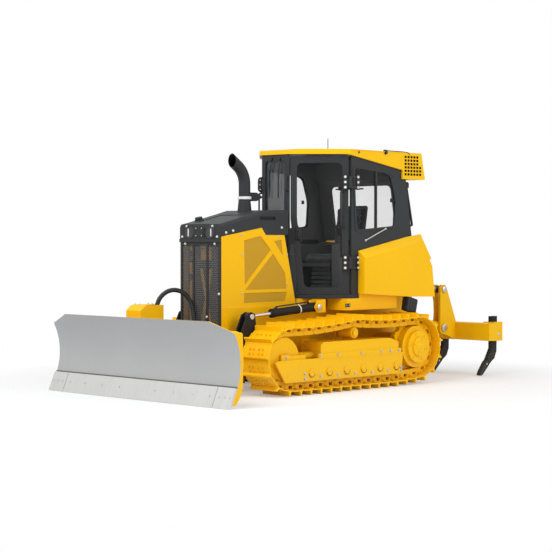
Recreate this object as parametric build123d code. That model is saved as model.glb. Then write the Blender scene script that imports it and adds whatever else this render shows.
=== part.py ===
from build123d import *
import math
import os

# Small crawler bulldozer. Millimetres; X forward, Y to the left, Z up, ground at Z = 0.
# Driving dimensions come first; everything else is worked out from them.

# Tracks
TRACK_GAUGE = 1524
SHOE_WIDTH = 406
SHOE_PITCH = 156
SHOE_PLATE = 11
SHOE_GAP = 6
GROUSER_HEIGHT = 48
GROUSER_ROOT = 34
GROUSER_TOP = 16
GROUSER_START = 14
LINK_FOOT = 44
LINK_RAIL = 44
RAIL_WIDTH = 36
RAIL_SPACING = 136
CHAIN_SAG = 22
IDLER_X = 1230
IDLER_PITCH_RADIUS = 286
SPROCKET_X = -900
SPROCKET_Z = 428
SPROCKET_PITCH_RADIUS = 297
SPROCKET_TEETH = 12
CARRIER_X = 140
CARRIER_RADIUS = 60
ROLLER_RADIUS = 80
ROLLER_FLANGE = 16
ROLLER_COUNT = 6
ROLLER_FIRST_X = -520
ROLLER_SPACING = 277
TRACK_FRAME_WIDTH = 300
TRACK_FRAME_WALL = 25
BEAM_TOP = 550
GUARD_LOW = 140
GUARD_HIGH = 380
GUARD_FRONT = 1414
RECOIL_RADIUS = 48
RECOIL_LENGTH = 210
YOKE_THICKNESS = 42
IDLER_HALF_WIDTH = 98
ROLLER_CAP_RADIUS = 46

# Main frame
HULL_HALF_WIDTH = 330
HULL_WALL = 40
HULL_BOTTOM = 400
HULL_TOP = 1000
HULL_FRONT = 1560
HULL_REAR = -1250
PAN_THICKNESS = 30

# Engine bay
BAY_HALF_WIDTH = 319
BAY_FRONT = 1654
BAY_SHEET = 12
ENGINE_X = (640, 1400)
ENGINE_HALF_WIDTH = 230
ENGINE_TOP = 1540
RADIATOR_DEPTH = 70
RADIATOR_HALF_WIDTH = 285
RADIATOR_TOP = 1600
GRILLE_LOW = 560
GRILLE_BACK = 1632
GRILLE_FRONT = 1650
NOSE_BOTTOM = 1630
NOSE_TOP = 1826
HOOD_PEAK_X = 1160
HOOD_PEAK_Z = 1936
COWL_X = 985
COWL_Z = 1980
COWL_REAR = 622
COWL_HALF_WIDTH = 200
PANEL_BOTTOM = 932
PANEL_FRONT_TOP = 1690
PANEL_PEAK = (1030, 1788)
PANEL_STEP = (970, 1708)
PANEL_REAR_TOP = 680
PANEL_REAR_BOTTOM = 500
LAMP_RADIUS = 62
LAMP_Y = 165
LAMP_Z = 1735
STACK_X = 985
STACK_RADIUS = 65
STACK_BEND_Z = 2268
STACK_BEND_RADIUS = 240
STACK_BEND_ANGLE = 55
STACK_MOUTH_X = 1172
STACK_WALL = 8
STACK_CLAMP_Z = 2105

# Cab
CAB_FLOOR = 1045
CAB_TOP = 2612
DOOR_THICKNESS = 45
WALL_THICKNESS = 30
HINGE_POST = (20, 690)
FRONT_POST = (500, 219.6)
POST_NOSE = 14
SIDE_Y = 702
REAR_BOTTOM_X = -1045
REAR_TOP_X = -927
REAR_TOP_Z = 2357
ROOF_TOP = 2670
ROOF_FRONT = 525
ROOF_REAR = -1247
ROOF_HALF_WIDTH = 725
VENT_ROWS = 6
VENT_DEPTH = 25
ANTENNA = (-40, 300)
ANTENNA_TOP = 2805
WEDGE_FRONT = (40, 2606)
WEDGE_REAR = (-823, 2464)
AIRCON_FRONT = -848
GLASS_THICKNESS = 8
GLASS_FIT = 0.2
WINDSHIELD_HALF_WIDTH = 150
WINDSHIELD_LOW = 1500
REAR_WINDOW_HALF_WIDTH = 480
REAR_WINDOW_LOW = 1760
WINDOW_RADIUS = 60
HINGE_PIN_RADIUS = 12
HINGE_HEIGHTS = (1400, 2300)
RUNNING_CLEARANCE = 0.05
SEAT_X = (-640, -130)
SEAT_HALF_WIDTH = 250
SEAT_HEIGHT = 450
CUSHION_THICKNESS = 125
SEAT_BACK_HEIGHT = 1050
SEAT_BACK_THICKNESS = 90
CONSOLE_X = (320, 460)
CONSOLE_HALF_WIDTH = 150
ARMREST_X = (-560, -140)
ARMREST_Y = (265, 400)
ARMREST_HEIGHT = 560

# Tanks beside the cab
TANK_INNER_Y = 425
TANK_OUTER_Y = 800
TANK_OUTLINE = [
    (-110, 1052), (-110, 1460), (-955, 1620), (-1150, 1645), (-1280, 1450), (-1340, 990), (-900, 1000),
]
TANK_CHAMFER = 45
FENDER_OUTER_Y = 720
FENDER_LOW = 870
FENDER_FRONT = 100
FENDER_REAR = -750

# Blade frame, blade and their cylinders
ARM_INNER_Y = 450
ARM_OUTER_Y = 530
ARM_HALF_HEIGHT = 55
ARM_PIVOT = (230, 350)
ARM_PIN_RADIUS = 40
ARM_BOSS_RADIUS = 75
LIFT_Y = 500
LIFT_BASE = (390, 909)
LIFT_EYE = (1400, 837)
LIFT_BARREL_LENGTH = 680
CROSS_REAR = 1860
CROSS_FRONT = 2000
YOKE_X = 2150
YOKE_POST_RADIUS = 70
YOKE_LOW = 310
YOKE_HIGH = 560
YOKE_FACE = 2325
YOKE_HALF_WIDTH = 430
TILT_Z = 400
TILT_PIN_RADIUS = 55
ANGLE_BASE = (1330, 380)
ANGLE_EYE = (2240, 395)
ANGLE_BARREL_LENGTH = 610
ANGLE_Z = 430
TILT_X = 2285
TILT_BASE = (-90, 664)
TILT_EYE = (-640, 614)
TILT_BARREL_LENGTH = 360
BLADE_WIDTH = 2900
BLADE_TOP = 850
BLADE_LOW = 168
BLADE_CURVE_RADIUS = 640
BLADE_CURVE_X = 3070
BLADE_CURVE_Z = 430
BLADE_SHEET = 14
BLADE_CORNER = (300, 110)
BLADE_BACK = 2345
EDGE_LOW = 4
EDGE_LAP = 30
EDGE_SEAT = 0.8
EDGE_THICKNESS = 24
END_BIT_LENGTH = 250
END_PLATE = 16
GUARD_X = (1990, 2310)
GUARD_Y = (-445, -205)
GUARD_Z = (730, 960)

# Ripper
RIPPER_PIVOT = (-2040, 580)
RIPPER_EYE = (-2040, 1050)
RIPPER_BASE = (-1180, 1090)
RIPPER_CYLINDER_Y = 290
RIPPER_BARREL_LENGTH = 560
RIPPER_PLATE_Y = 335
RIPPER_PLATE = 30
RIPPER_PIN_RADIUS = 35
BEAM_FRONT = -2265
BEAM_REAR = -2440
BEAM_LOW = 430
BEAM_HIGH = 640
BEAM_HALF_WIDTH = 890
SHANK_Y = 750
SHANK_THICKNESS = 50
SHANK_DEPTH = 110
SHANK_TOP = 720
SHANK_TIP = 10
SHANK_REAR = BEAM_REAR - SHANK_DEPTH - 20

# Cylinders
BARREL_RADIUS = 45
ROD_RADIUS = 20
EYE_RADIUS = 45
EYE_HALF_WIDTH = 26
SMALL_BARREL_RADIUS = 30
SMALL_ROD_RADIUS = 17
SMALL_PIN_RADIUS = 18
BARREL_SIDE_GAP = 3
GLAND_STEP = 5
EAR_GAP = 5
EAR_THICKNESS = 20
PIN_RADIUS = 25
SEAT_GAP = 0.3

TRACK_Y = TRACK_GAUGE / 2
PITCH_TO_TIP = LINK_FOOT + SHOE_PLATE + GROUSER_HEIGHT
IDLER_Z = PITCH_TO_TIP + IDLER_PITCH_RADIUS
ROLLER_Z = PITCH_TO_TIP + LINK_RAIL + ROLLER_RADIUS + 2 * SEAT_GAP
CARRIER_PITCH_Z = 735
CARRIER_Z = CARRIER_PITCH_Z - LINK_RAIL - CARRIER_RADIUS - 3


def plate_y(points, y_low, y_high):
    """A plate with an outline in X and Z, between two Y planes."""
    wire = Wire.make_polygon([Vector(x, y_low, z) for x, z in points], close=True)
    return Solid.extrude(Face(wire), Vector(0, y_high - y_low, 0))


def plate_z(points, z_low, z_high):
    """A plate with an outline in X and Y, between two heights."""
    wire = Wire.make_polygon([Vector(x, y, z_low) for x, y in points], close=True)
    return Solid.extrude(Face(wire), Vector(0, 0, z_high - z_low))


def plate_x(points, x_low, x_high):
    """A plate with an outline in Y and Z, between two X planes."""
    wire = Wire.make_polygon([Vector(x_low, y, z) for y, z in points], close=True)
    return Solid.extrude(Face(wire), Vector(x_high - x_low, 0, 0))


def window(corners, push, radius):
    """A tool with rounded corners that cuts a window through a wall along the vector push."""
    face = Face(Wire.make_polygon(corners, close=True))
    face = face.fillet_2d(radius, face.vertices())
    return Solid.extrude(face, push)


def block(x_low, x_high, y_low, y_high, z_low, z_high):
    """A box between six planes."""
    return plate_z([(x_low, y_low), (x_high, y_low), (x_high, y_high), (x_low, y_high)], z_low, z_high)


def bar(start, end, radius):
    """A round bar between two points."""
    start = Vector(*start)
    along = Vector(*end) - start
    return Solid.make_cylinder(radius, along.length, Plane(origin=start, z_dir=along))


def join(first, *others):
    """One solid from pieces that touch or overlap."""
    return first.fuse(*others).clean()


def mirrored(shape):
    return shape.mirror(Plane.XZ)


def both_sides(shape):
    return join_apart(shape, mirrored(shape))


def join_apart(*shapes):
    """Several solids that don't touch, kept as one piece."""
    solids = []
    for shape in shapes:
        solids.extend(shape.solids())
    return Compound(solids)


# Track chain

def pitch_line():
    """Points along the closed line of the track's pins, in X and Z, from the rear roller forward."""
    ground = PITCH_TO_TIP
    steps = 60
    points = [(ROLLER_FIRST_X, ground)]
    for i in range(steps):
        angle = math.radians(-90 + 180 * i / steps)
        points.append((
            IDLER_X + IDLER_PITCH_RADIUS * math.cos(angle),
            IDLER_Z + IDLER_PITCH_RADIUS * math.sin(angle),
        ))
    stations = [
        (IDLER_X, IDLER_Z + IDLER_PITCH_RADIUS),
        (CARRIER_X, CARRIER_PITCH_Z),
        (SPROCKET_X, SPROCKET_Z + SPROCKET_PITCH_RADIUS),
    ]
    for (x_from, z_from), (x_to, z_to) in zip(stations, stations[1:]):
        for i in range(steps):
            t = i / steps
            sag = 4 * CHAIN_SAG * t * (1 - t)
            points.append((x_from + t * (x_to - x_from), z_from + t * (z_to - z_from) - sag))
    to_roller = Vector(ROLLER_FIRST_X - SPROCKET_X, ground - SPROCKET_Z)
    facing = math.degrees(math.atan2(to_roller.Y, to_roller.X))
    leave = facing - math.degrees(math.acos(SPROCKET_PITCH_RADIUS / to_roller.length)) + 360
    for i in range(steps + 1):
        angle = math.radians(90 + (leave - 90) * i / steps)
        points.append((
            SPROCKET_X + SPROCKET_PITCH_RADIUS * math.cos(angle),
            SPROCKET_Z + SPROCKET_PITCH_RADIUS * math.sin(angle),
        ))
    return points


def pin_points():
    """Pins at equal steps along the pitch line, as many as fit the shoe pitch."""
    line = pitch_line()
    line.append(line[0])
    lengths = [0]
    for a, b in zip(line, line[1:]):
        lengths.append(lengths[-1] + math.dist(a, b))
    count = round(lengths[-1] / SHOE_PITCH)
    pins = []
    place = 0
    for i in range(count):
        target = lengths[-1] * i / count
        while lengths[place + 1] < target:
            place += 1
        share = (target - lengths[place]) / (lengths[place + 1] - lengths[place])
        a, b = line[place], line[place + 1]
        pins.append((a[0] + share * (b[0] - a[0]), a[1] + share * (b[1] - a[1])))
    return pins


def offset_loop(pins, distance):
    """The loop of pins moved outwards by a distance, with mitred corners."""
    moved = []
    for i, here in enumerate(pins):
        before = Vector(*here) - Vector(*pins[i - 1])
        after = Vector(*pins[(i + 1) % len(pins)]) - Vector(*here)
        before = before.normalized()
        after = after.normalized()
        normal = Vector(before.Y + after.Y, -before.X - after.X).normalized()
        along = normal.X * after.Y - normal.Y * after.X
        moved.append((here[0] + normal.X * distance / along, here[1] + normal.Y * distance / along))
    return moved


def track_shoe(pin, next_pin, y_low, y_high):
    """One shoe plate with its grouser, on the link between two pins."""
    along = Vector(next_pin[0] - pin[0], next_pin[1] - pin[1])
    length = along.length
    along = along.normalized()
    out = Vector(along.Y, -along.X)
    plate = LINK_FOOT + SHOE_PLATE
    tip = plate + GROUSER_HEIGHT
    half_gap = SHOE_GAP / 2
    slope = (GROUSER_ROOT - GROUSER_TOP) / 2
    outline = [
        (half_gap, LINK_FOOT),
        (half_gap, plate),
        (GROUSER_START, plate),
        (GROUSER_START + slope, tip),
        (GROUSER_START + slope + GROUSER_TOP, tip),
        (GROUSER_START + GROUSER_ROOT, plate),
        (length - half_gap, plate),
        (length - half_gap, LINK_FOOT),
    ]
    points = [(pin[0] + along.X * t + out.X * n, pin[1] + along.Y * t + out.Y * n) for t, n in outline]
    return plate_y(points, y_low, y_high)


def track():
    """The left track: two link rails all the way round, and a shoe on every link."""
    pins = pin_points()
    outer = offset_loop(pins, LINK_FOOT)
    inner = offset_loop(pins, -LINK_RAIL)
    rails = []
    for side in (-1, 1):
        middle = TRACK_Y + side * RAIL_SPACING / 2
        band = (middle - RAIL_WIDTH / 2, middle + RAIL_WIDTH / 2)
        rails.append(plate_y(outer, *band) - plate_y(inner, *band))
    shoes = []
    for i, pin in enumerate(pins):
        next_pin = pins[(i + 1) % len(pins)]
        shoes.append(track_shoe(pin, next_pin, TRACK_Y - SHOE_WIDTH / 2, TRACK_Y + SHOE_WIDTH / 2))
    return rails[0].fuse(rails[1], *shoes)


def inner_radius(pitch_radius):
    """How near the link rails come to a wheel's axis between two pins."""
    return math.sqrt(pitch_radius ** 2 - (SHOE_PITCH / 2 + 1) ** 2) - LINK_RAIL - SEAT_GAP


def wheel(x, z, steps):
    """A wheel of coaxial discs; each step is its two Y offsets from the track's middle and its radius."""
    discs = [bar((x, TRACK_Y + low, z), (x, TRACK_Y + high, z), radius) for low, high, radius in steps]
    return join(*discs) if len(discs) > 1 else discs[0]


def idler():
    tread = inner_radius(IDLER_PITCH_RADIUS)
    hub = IDLER_HALF_WIDTH - SEAT_GAP
    flange = RAIL_SPACING / 2 - RAIL_WIDTH / 2 - 4
    return wheel(IDLER_X, IDLER_Z, [
        (-RAIL_SPACING / 2 - 24, RAIL_SPACING / 2 + 24, tread),
        (-flange, flange, tread + 20),
        (-hub, hub, 45),
    ])


def sprocket():
    """The toothed rim between the rails, on the final drive's drum."""
    rim = inner_radius(SPROCKET_PITCH_RADIUS)
    root = SPROCKET_PITCH_RADIUS - 26
    tip = SPROCKET_PITCH_RADIUS + 4
    half_tooth = 180 / SPROCKET_TEETH
    points = []
    for i in range(SPROCKET_TEETH):
        middle = 360 * i / SPROCKET_TEETH
        for angle, radius in ((-0.8, root), (-0.3, tip), (0.3, tip), (0.8, root)):
            turn = math.radians(middle + angle * half_tooth)
            points.append((SPROCKET_X + radius * math.cos(turn), SPROCKET_Z + radius * math.sin(turn)))
    teeth = plate_y(points, TRACK_Y - 28, TRACK_Y + 28)
    drum = wheel(SPROCKET_X, SPROCKET_Z, [
        (-70, 120, rim - 4),
        (120, 165, rim - 60),
        (165, 185, 110),
    ])
    return join(teeth, drum)


def rollers():
    half_frame = TRACK_FRAME_WIDTH / 2 - TRACK_FRAME_WALL
    tread = RAIL_SPACING / 2 + RAIL_WIDTH / 2
    made = []
    for i in range(ROLLER_COUNT):
        x = ROLLER_FIRST_X + i * ROLLER_SPACING
        made.append(wheel(x, ROLLER_Z, [
            (-tread, tread, ROLLER_RADIUS),
            (-tread - 14, -tread - 2, ROLLER_RADIUS + ROLLER_FLANGE),
            (tread + 2, tread + 14, ROLLER_RADIUS + ROLLER_FLANGE),
            (-half_frame, half_frame, 34),
        ]))
    made.append(wheel(CARRIER_X, CARRIER_Z, [
        (-tread, tread + 26, CARRIER_RADIUS),
        (-half_frame, -tread, 24),
        (tread + 26, tread + 38, CARRIER_RADIUS * 0.6),
    ]))
    return made


def track_frame():
    """The left roller frame: beam, roller guards, idler blocks on recoil tubes, and the carrier's bracket."""
    half = TRACK_FRAME_WIDTH / 2
    low = ROLLER_Z + ROLLER_RADIUS + ROLLER_FLANGE + 5
    yoke = IDLER_X - inner_radius(IDLER_PITCH_RADIUS) - 28
    yoke_back = yoke - YOKE_THICKNESS
    front = yoke_back - RECOIL_LENGTH
    beam = plate_y(
        [(-560, low), (-560, BEAM_TOP - 50), (-420, BEAM_TOP), (front - 40, BEAM_TOP), (front, BEAM_TOP - 30),
         (front, low)],
        TRACK_Y - half, TRACK_Y + half,
    )
    pieces = []
    guard = [
        (ROLLER_FIRST_X - 120, GUARD_HIGH),
        (ROLLER_FIRST_X - 90, GUARD_LOW),
        (IDLER_X + 32, GUARD_LOW),
        (GUARD_FRONT, GUARD_HIGH - 12),
        (IDLER_X + 110, GUARD_HIGH),
    ]
    for side in (-1, 1):
        face = TRACK_Y + side * half
        back = face - side * TRACK_FRAME_WALL
        pieces.append(plate_y(guard, *sorted((back, face))))
        bearing = sorted((back + side * 2, TRACK_Y + side * IDLER_HALF_WIDTH))
        pieces.append(block(IDLER_X - 62, IDLER_X + 68, *bearing, IDLER_Z - 44, IDLER_Z + 50))
        pieces.append(block(yoke_back, IDLER_X, *bearing, IDLER_Z - 28, IDLER_Z + 36))
    cross = (TRACK_Y - half + TRACK_FRAME_WALL, TRACK_Y + half - TRACK_FRAME_WALL)
    pieces.append(block(yoke_back, yoke, *cross, IDLER_Z - 28, IDLER_Z + 36))
    pieces.append(bar((yoke - 20, TRACK_Y, IDLER_Z + 8), (front - 10, TRACK_Y, IDLER_Z + 8), RECOIL_RADIUS))
    face = TRACK_Y + half
    rim_x = (ROLLER_FIRST_X - 80, front + 40)
    pieces.append(block(*rim_x, face - 10, face + 8, GUARD_HIGH - 5, GUARD_HIGH + 50))
    for i in range(ROLLER_COUNT):
        x = ROLLER_FIRST_X + i * ROLLER_SPACING
        pieces.append(bar((x, face - 5, ROLLER_Z), (x, face + 10, ROLLER_Z), ROLLER_CAP_RADIUS))
    bracket = [
        (CARRIER_X - 60, BEAM_TOP - 5),
        (CARRIER_X - 30, CARRIER_Z + 30),
        (CARRIER_X + 30, CARRIER_Z + 30),
        (CARRIER_X + 60, BEAM_TOP - 5),
    ]
    pieces.append(plate_y(bracket, TRACK_Y - half, TRACK_Y - half + TRACK_FRAME_WALL))
    return join(beam, *pieces)


# Hull

def main_frame():
    """Side rails on a belly pan, the rear case, the blade frame's pivots and the tubes to the tracks."""
    half = HULL_HALF_WIDTH
    pan_top = HULL_BOTTOM + PAN_THICKNESS
    frame_side = TRACK_Y - TRACK_FRAME_WIDTH / 2
    pieces = []
    for side in (-1, 1):
        rail = sorted((side * half, side * (half - HULL_WALL)))
        pieces.append(block(HULL_REAR, PANEL_REAR_BOTTOM - 10, *rail, pan_top, HULL_TOP))
        pieces.append(block(PANEL_REAR_BOTTOM - 15, HULL_FRONT, *rail, pan_top, PANEL_BOTTOM))
        ear = sorted((side * half, side * (half - 60)))
        pieces.append(block(ARM_PIVOT[0] - 80, ARM_PIVOT[0] + 80, *ear, ARM_PIVOT[1] - 65, pan_top))
        pin_end = side * (ARM_OUTER_Y + 18)
        pin = [(ARM_PIVOT[0], y, ARM_PIVOT[1]) for y in (side * half, pin_end)]
        pieces.append(bar(*pin, ARM_PIN_RADIUS))
        tube = sorted((side * half, side * frame_side))
        pieces.append(block(300, 420, *tube, 500, 545))
        pieces.append(bar((-300, side * (half - 5), 470), (-300, side * frame_side, 470), 60))
        drive_end = side * (TRACK_Y - 70)
        drive = [(SPROCKET_X, y, SPROCKET_Z) for y in (side * (half - 5), drive_end)]
        pieces.append(bar(*drive, SPROCKET_PITCH_RADIUS / 2 + 1.5))
    pieces.append(block(HULL_REAR, -400, -half, half, pan_top, HULL_TOP))
    pieces.append(block(-400, PANEL_REAR_BOTTOM - 10, -half, half, HULL_TOP - 25, HULL_TOP))
    pieces.append(block(HULL_FRONT - 40, HULL_FRONT, -half, half, pan_top, GRILLE_LOW))
    pieces.append(block(HULL_FRONT - 5, HOSE_ROUTE[0][0] + 50, -60, 60, HULL_BOTTOM + 10, HOSE_ROUTE[0][2]))
    pan = block(HULL_REAR, HULL_FRONT, -half, half, HULL_BOTTOM, pan_top)
    return join(pan, *pieces)


def engine_block():
    half = ENGINE_HALF_WIDTH
    return block(*ENGINE_X, -half, half, HULL_BOTTOM + PAN_THICKNESS, ENGINE_TOP)


def radiator():
    half = RADIATOR_HALF_WIDTH
    return block(HULL_FRONT - RADIATOR_DEPTH, HULL_FRONT, -half, half, GRILLE_LOW, RADIATOR_TOP)


# Engine bay sheet metal

def hood_outline(lift):
    """The hood's side view, its top line raised by a little where something seats on it."""
    return [
        (BAY_FRONT - 14, PANEL_FRONT_TOP + 4),
        (BAY_FRONT - 14, NOSE_TOP + lift),
        (HOOD_PEAK_X, HOOD_PEAK_Z + lift),
        (COWL_X, COWL_Z + lift),
        (COWL_REAR, COWL_Z + 6 + lift),
        (COWL_REAR, PANEL_STEP[1] + 2),
        (PANEL_STEP[0] - 2, PANEL_STEP[1] + 2),
        (PANEL_PEAK[0], PANEL_PEAK[1] + 3),
    ]


def hood():
    """The black top from the nose back to the cab, open below, with rounded long edges."""
    outline = hood_outline(0)
    inset = BAY_SHEET
    hollow = [
        (BAY_FRONT - 14 + inset, PANEL_FRONT_TOP - 60),
        (BAY_FRONT - 14 + inset, NOSE_TOP - inset - 4),
        (HOOD_PEAK_X, HOOD_PEAK_Z - inset),
        (COWL_X, COWL_Z - inset),
        (COWL_REAR + inset, COWL_Z + 6 - inset),
        (COWL_REAR + inset, PANEL_STEP[1] - 60),
    ]
    half = BAY_HALF_WIDTH
    solid = plate_y(outline, -half, half)
    long_edges = []
    for edge in solid.edges():
        ends = edge.vertices()
        flat = abs(ends[0].Y - ends[1].Y) < 1
        high = min(ends[0].Z, ends[1].Z) > NOSE_TOP - 1
        if flat and high:
            long_edges.append(edge)
    solid = solid.fillet(35, long_edges)
    solid = solid - plate_y(hollow, -half + inset, half - inset)
    for side in (-1, 1):
        slot_y = sorted((side * (half - 8), side * (half + 5)))
        solid = solid - block(COWL_X - 160, COWL_X + 75, *slot_y, COWL_Z - 106, COWL_Z - 71)
    slope = (HOOD_PEAK_Z - NOSE_TOP) / (BAY_FRONT - 14 - HOOD_PEAK_X)
    recess = []
    for x, lift in ((1180, -6), (1520, -6), (1520, 20), (1180, 20)):
        recess.append((x, HOOD_PEAK_Z - slope * (x - HOOD_PEAK_X) + lift))
    solid = solid - plate_y(recess, -170, 170)
    face_x = FRONT_POST[0] + POST_NOSE
    taper = [(COWL_REAR, 300), (face_x, COWL_HALF_WIDTH), (face_x, -COWL_HALF_WIDTH), (COWL_REAR, -300)]
    return join(solid, plate_z(taper, PANEL_STEP[1] + 2, COWL_Z))


def nose_panel():
    """The black plate above the grille with round lamp holes."""
    half = BAY_HALF_WIDTH
    corners = [Vector(BAY_FRONT - 14, y, z) for y, z in
               ((-half, NOSE_BOTTOM), (half, NOSE_BOTTOM), (half, NOSE_TOP), (-half, NOSE_TOP))]
    face = Face(Wire.make_polygon(corners, close=True))
    high = [v for v in face.vertices() if v.Z > NOSE_TOP - 1]
    panel = Solid.extrude(face.fillet_2d(45, high), Vector(14, 0, 0))
    panel = join(panel, block(BAY_FRONT - 14, BAY_FRONT + 10, -half, half, NOSE_BOTTOM, NOSE_BOTTOM + 36))
    for y in (-LAMP_Y, LAMP_Y):
        panel = panel - bar((BAY_FRONT - 20, y, LAMP_Z), (BAY_FRONT + 5, y, LAMP_Z), LAMP_RADIUS + 1)
    return panel


def head_lamps():
    lamps = []
    for y in (-LAMP_Y, LAMP_Y):
        can = bar((BAY_FRONT - 60, y, LAMP_Z), (BAY_FRONT - 14, y, LAMP_Z), LAMP_RADIUS + 12)
        lens = bar((BAY_FRONT - 14, y, LAMP_Z), (BAY_FRONT + 4, y, LAMP_Z), LAMP_RADIUS + 0.5)
        lamps.append(join(can, lens))
    return join_apart(*lamps)


def grille():
    """The black front grille: a frame with two posts and rows of slots between them."""
    half = BAY_HALF_WIDTH
    low, high = GRILLE_LOW, NOSE_BOTTOM
    plate = block(GRILLE_BACK, GRILLE_FRONT, -half, half, low, high)
    columns = ((-285, -125), (-95, 95), (125, 285))
    rows = 15
    step = (high - low - 60) / rows
    slots = []
    for y_low, y_high in columns:
        for i in range(rows):
            z = low + 30 + (i + 0.5) * step
            half_slot = step * 0.36
            slots.append(block(BAY_FRONT - 40, BAY_FRONT + 10, y_low, y_high, z - half_slot, z + half_slot))
    return plate.cut(*slots)


def side_panel():
    """The left engine side panel with its recessed mesh fields."""
    outline = [
        (GRILLE_BACK, PANEL_BOTTOM),
        (GRILLE_BACK, PANEL_FRONT_TOP),
        PANEL_PEAK,
        PANEL_STEP,
        (PANEL_REAR_TOP, PANEL_STEP[1]),
        (PANEL_REAR_BOTTOM, PANEL_BOTTOM),
    ]
    panel = plate_y(outline, BAY_HALF_WIDTH - BAY_SHEET, BAY_HALF_WIDTH)
    fields = [
        [(1297, 1651), (1050, 1698), (891, 1546), (1287, 1169)],
        [(860, 1504), (670, 1290), (650, 1114), (1281, 1114)],
        [(841, 1643), (728, 1655), (706, 1480)],
        [(1297, 1080), (640, 1081), (676, 978), (1297, 973)],
    ]
    for field in fields:
        panel = panel - plate_y(field, BAY_HALF_WIDTH - 5, BAY_HALF_WIDTH + 5)
    return panel


def exhaust():
    """The stack on a conical foot, bent forward to an open mouth, with its clamp ring and rear bracket."""
    foot = Solid.make_cone(82, STACK_RADIUS, 170, Plane(origin=(STACK_X, 0, COWL_Z - 40)))
    foot = foot - plate_y(hood_outline(SEAT_GAP), -BAY_HALF_WIDTH, BAY_HALF_WIDTH)
    pipe = bar((STACK_X, 0, COWL_Z + 100), (STACK_X, 0, STACK_BEND_Z), STACK_RADIUS)
    ring = bar((STACK_X, 0, STACK_CLAMP_Z), (STACK_X, 0, STACK_CLAMP_Z + 25), STACK_RADIUS + 8)
    base = Plane(origin=(STACK_X, 0, STACK_BEND_Z))
    axis = Axis((STACK_X + STACK_BEND_RADIUS, 0, STACK_BEND_Z), (0, 1, 0))
    elbow = Solid.revolve(Face(Wire.make_circle(STACK_RADIUS, base)), STACK_BEND_ANGLE, axis)
    angle = math.radians(STACK_BEND_ANGLE)
    along = Vector(math.sin(angle), 0, math.cos(angle))
    end = Vector(
        STACK_X + STACK_BEND_RADIUS * (1 - math.cos(angle)),
        0,
        STACK_BEND_Z + STACK_BEND_RADIUS * math.sin(angle),
    )
    snout = bar(end, end + along * 220, STACK_RADIUS)
    bore = bar(end - along * 20, end + along * 230, STACK_RADIUS - STACK_WALL)
    past_mouth = block(STACK_MOUTH_X, STACK_MOUTH_X + 300, -150, 150, STACK_BEND_Z, STACK_BEND_Z + 600)
    rear = STACK_X - STACK_RADIUS + 15
    bracket = [
        (rear, STACK_CLAMP_Z - 20), (rear, STACK_CLAMP_Z + 75), (rear - 110, STACK_CLAMP_Z + 75),
        (rear - 205, STACK_CLAMP_Z + 25), (rear - 110, STACK_CLAMP_Z - 20),
    ]
    bracket = plate_y(bracket, -32, 32)
    return join(foot, pipe, ring, elbow, snout, bracket) - bore - past_mouth


# Cab

def door_point(along, out, z):
    """A point of the left door: along it from the hinge post, out from its outer face, at a height."""
    run = Vector(FRONT_POST[0] - HINGE_POST[0], FRONT_POST[1] - HINGE_POST[1]).normalized()
    return Vector(HINGE_POST[0] + run.X * along - run.Y * out, HINGE_POST[1] + run.Y * along + run.X * out, z)


DOOR_LENGTH = math.dist(HINGE_POST, FRONT_POST)
HINGE_OUT = 26
HINGE_AXIS = door_point(-5, HINGE_OUT, 0)


def door_outline(margin):
    """The corners of the left door's outer face, drawn in by a margin."""
    front = DOOR_LENGTH - 12 - margin
    rear = 12 + margin
    low = CAB_FLOOR + 7 + margin
    high = CAB_TOP - 24 - margin
    return [(rear, low), (rear, high), (front, high), (front, 1900), (front - 85, low)]


def door_slab(margin, out_low, out_high, radius=None):
    corners = [door_point(along, out_low, z) for along, z in door_outline(margin)]
    face = Face(Wire.make_polygon(corners, close=True))
    if radius:
        face = face.fillet_2d(radius, face.vertices())
    push = door_point(0, out_high, 0) - door_point(0, out_low, 0)
    return Solid.extrude(face, push)


def hinge_block(along_low, along_high, out_low, out_high, z_low, z_high):
    corners = [door_point(a, o, 0) for a, o in
               ((along_low, out_low), (along_high, out_low), (along_high, out_high), (along_low, out_high))]
    return plate_z([(c.X, c.Y) for c in corners], z_low, z_high)


def hinge_pin(z, radius):
    """The left door's hinge pin about a height."""
    return bar((HINGE_AXIS.X, HINGE_AXIS.Y, z - 60), (HINGE_AXIS.X, HINGE_AXIS.Y, z + 60), radius)


def door():
    """The left door: a frame as thick as the wall round one large window, with its hinge knuckles."""
    frame = door_slab(0, -DOOR_THICKNESS, 0) - door_slab(72, -DOOR_THICKNESS - 5, 5, WINDOW_RADIUS)
    for z in HINGE_HEIGHTS:
        leaf = hinge_block(0, 78, 0, HINGE_OUT, z - 45, z + 45)
        knuckle = bar((HINGE_AXIS.X, HINGE_AXIS.Y, z - 45), (HINGE_AXIS.X, HINGE_AXIS.Y, z + 45), 20)
        frame = join(frame, leaf, knuckle)
        frame = frame - hinge_pin(z, HINGE_PIN_RADIUS + RUNNING_CLEARANCE)
    return frame


def door_glass():
    return door_slab(72.2, -DOOR_THICKNESS / 2 - GLASS_THICKNESS, -DOOR_THICKNESS / 2, WINDOW_RADIUS)


def side_window():
    """The corners of the left rear side window, in X and Z."""
    return [(-22, 2474), (-560, 2428), (-660, 2392), (-752, 2107), (-730, 1800), (-66, 1750)]


def wedge_height(x):
    """The height of the roof's lower side edge at an X."""
    share = (WEDGE_FRONT[0] - x) / (WEDGE_FRONT[0] - WEDGE_REAR[0])
    return WEDGE_FRONT[1] + share * (WEDGE_REAR[1] - WEDGE_FRONT[1])


def rear_foot():
    """The height where the cab's rear wall meets the tank's top."""
    (x_low, z_low), (x_high, z_high) = TANK_OUTLINE[2:4]
    return z_low + (z_high - z_low) * (REAR_BOTTOM_X - x_low) / (x_high - x_low)


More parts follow.
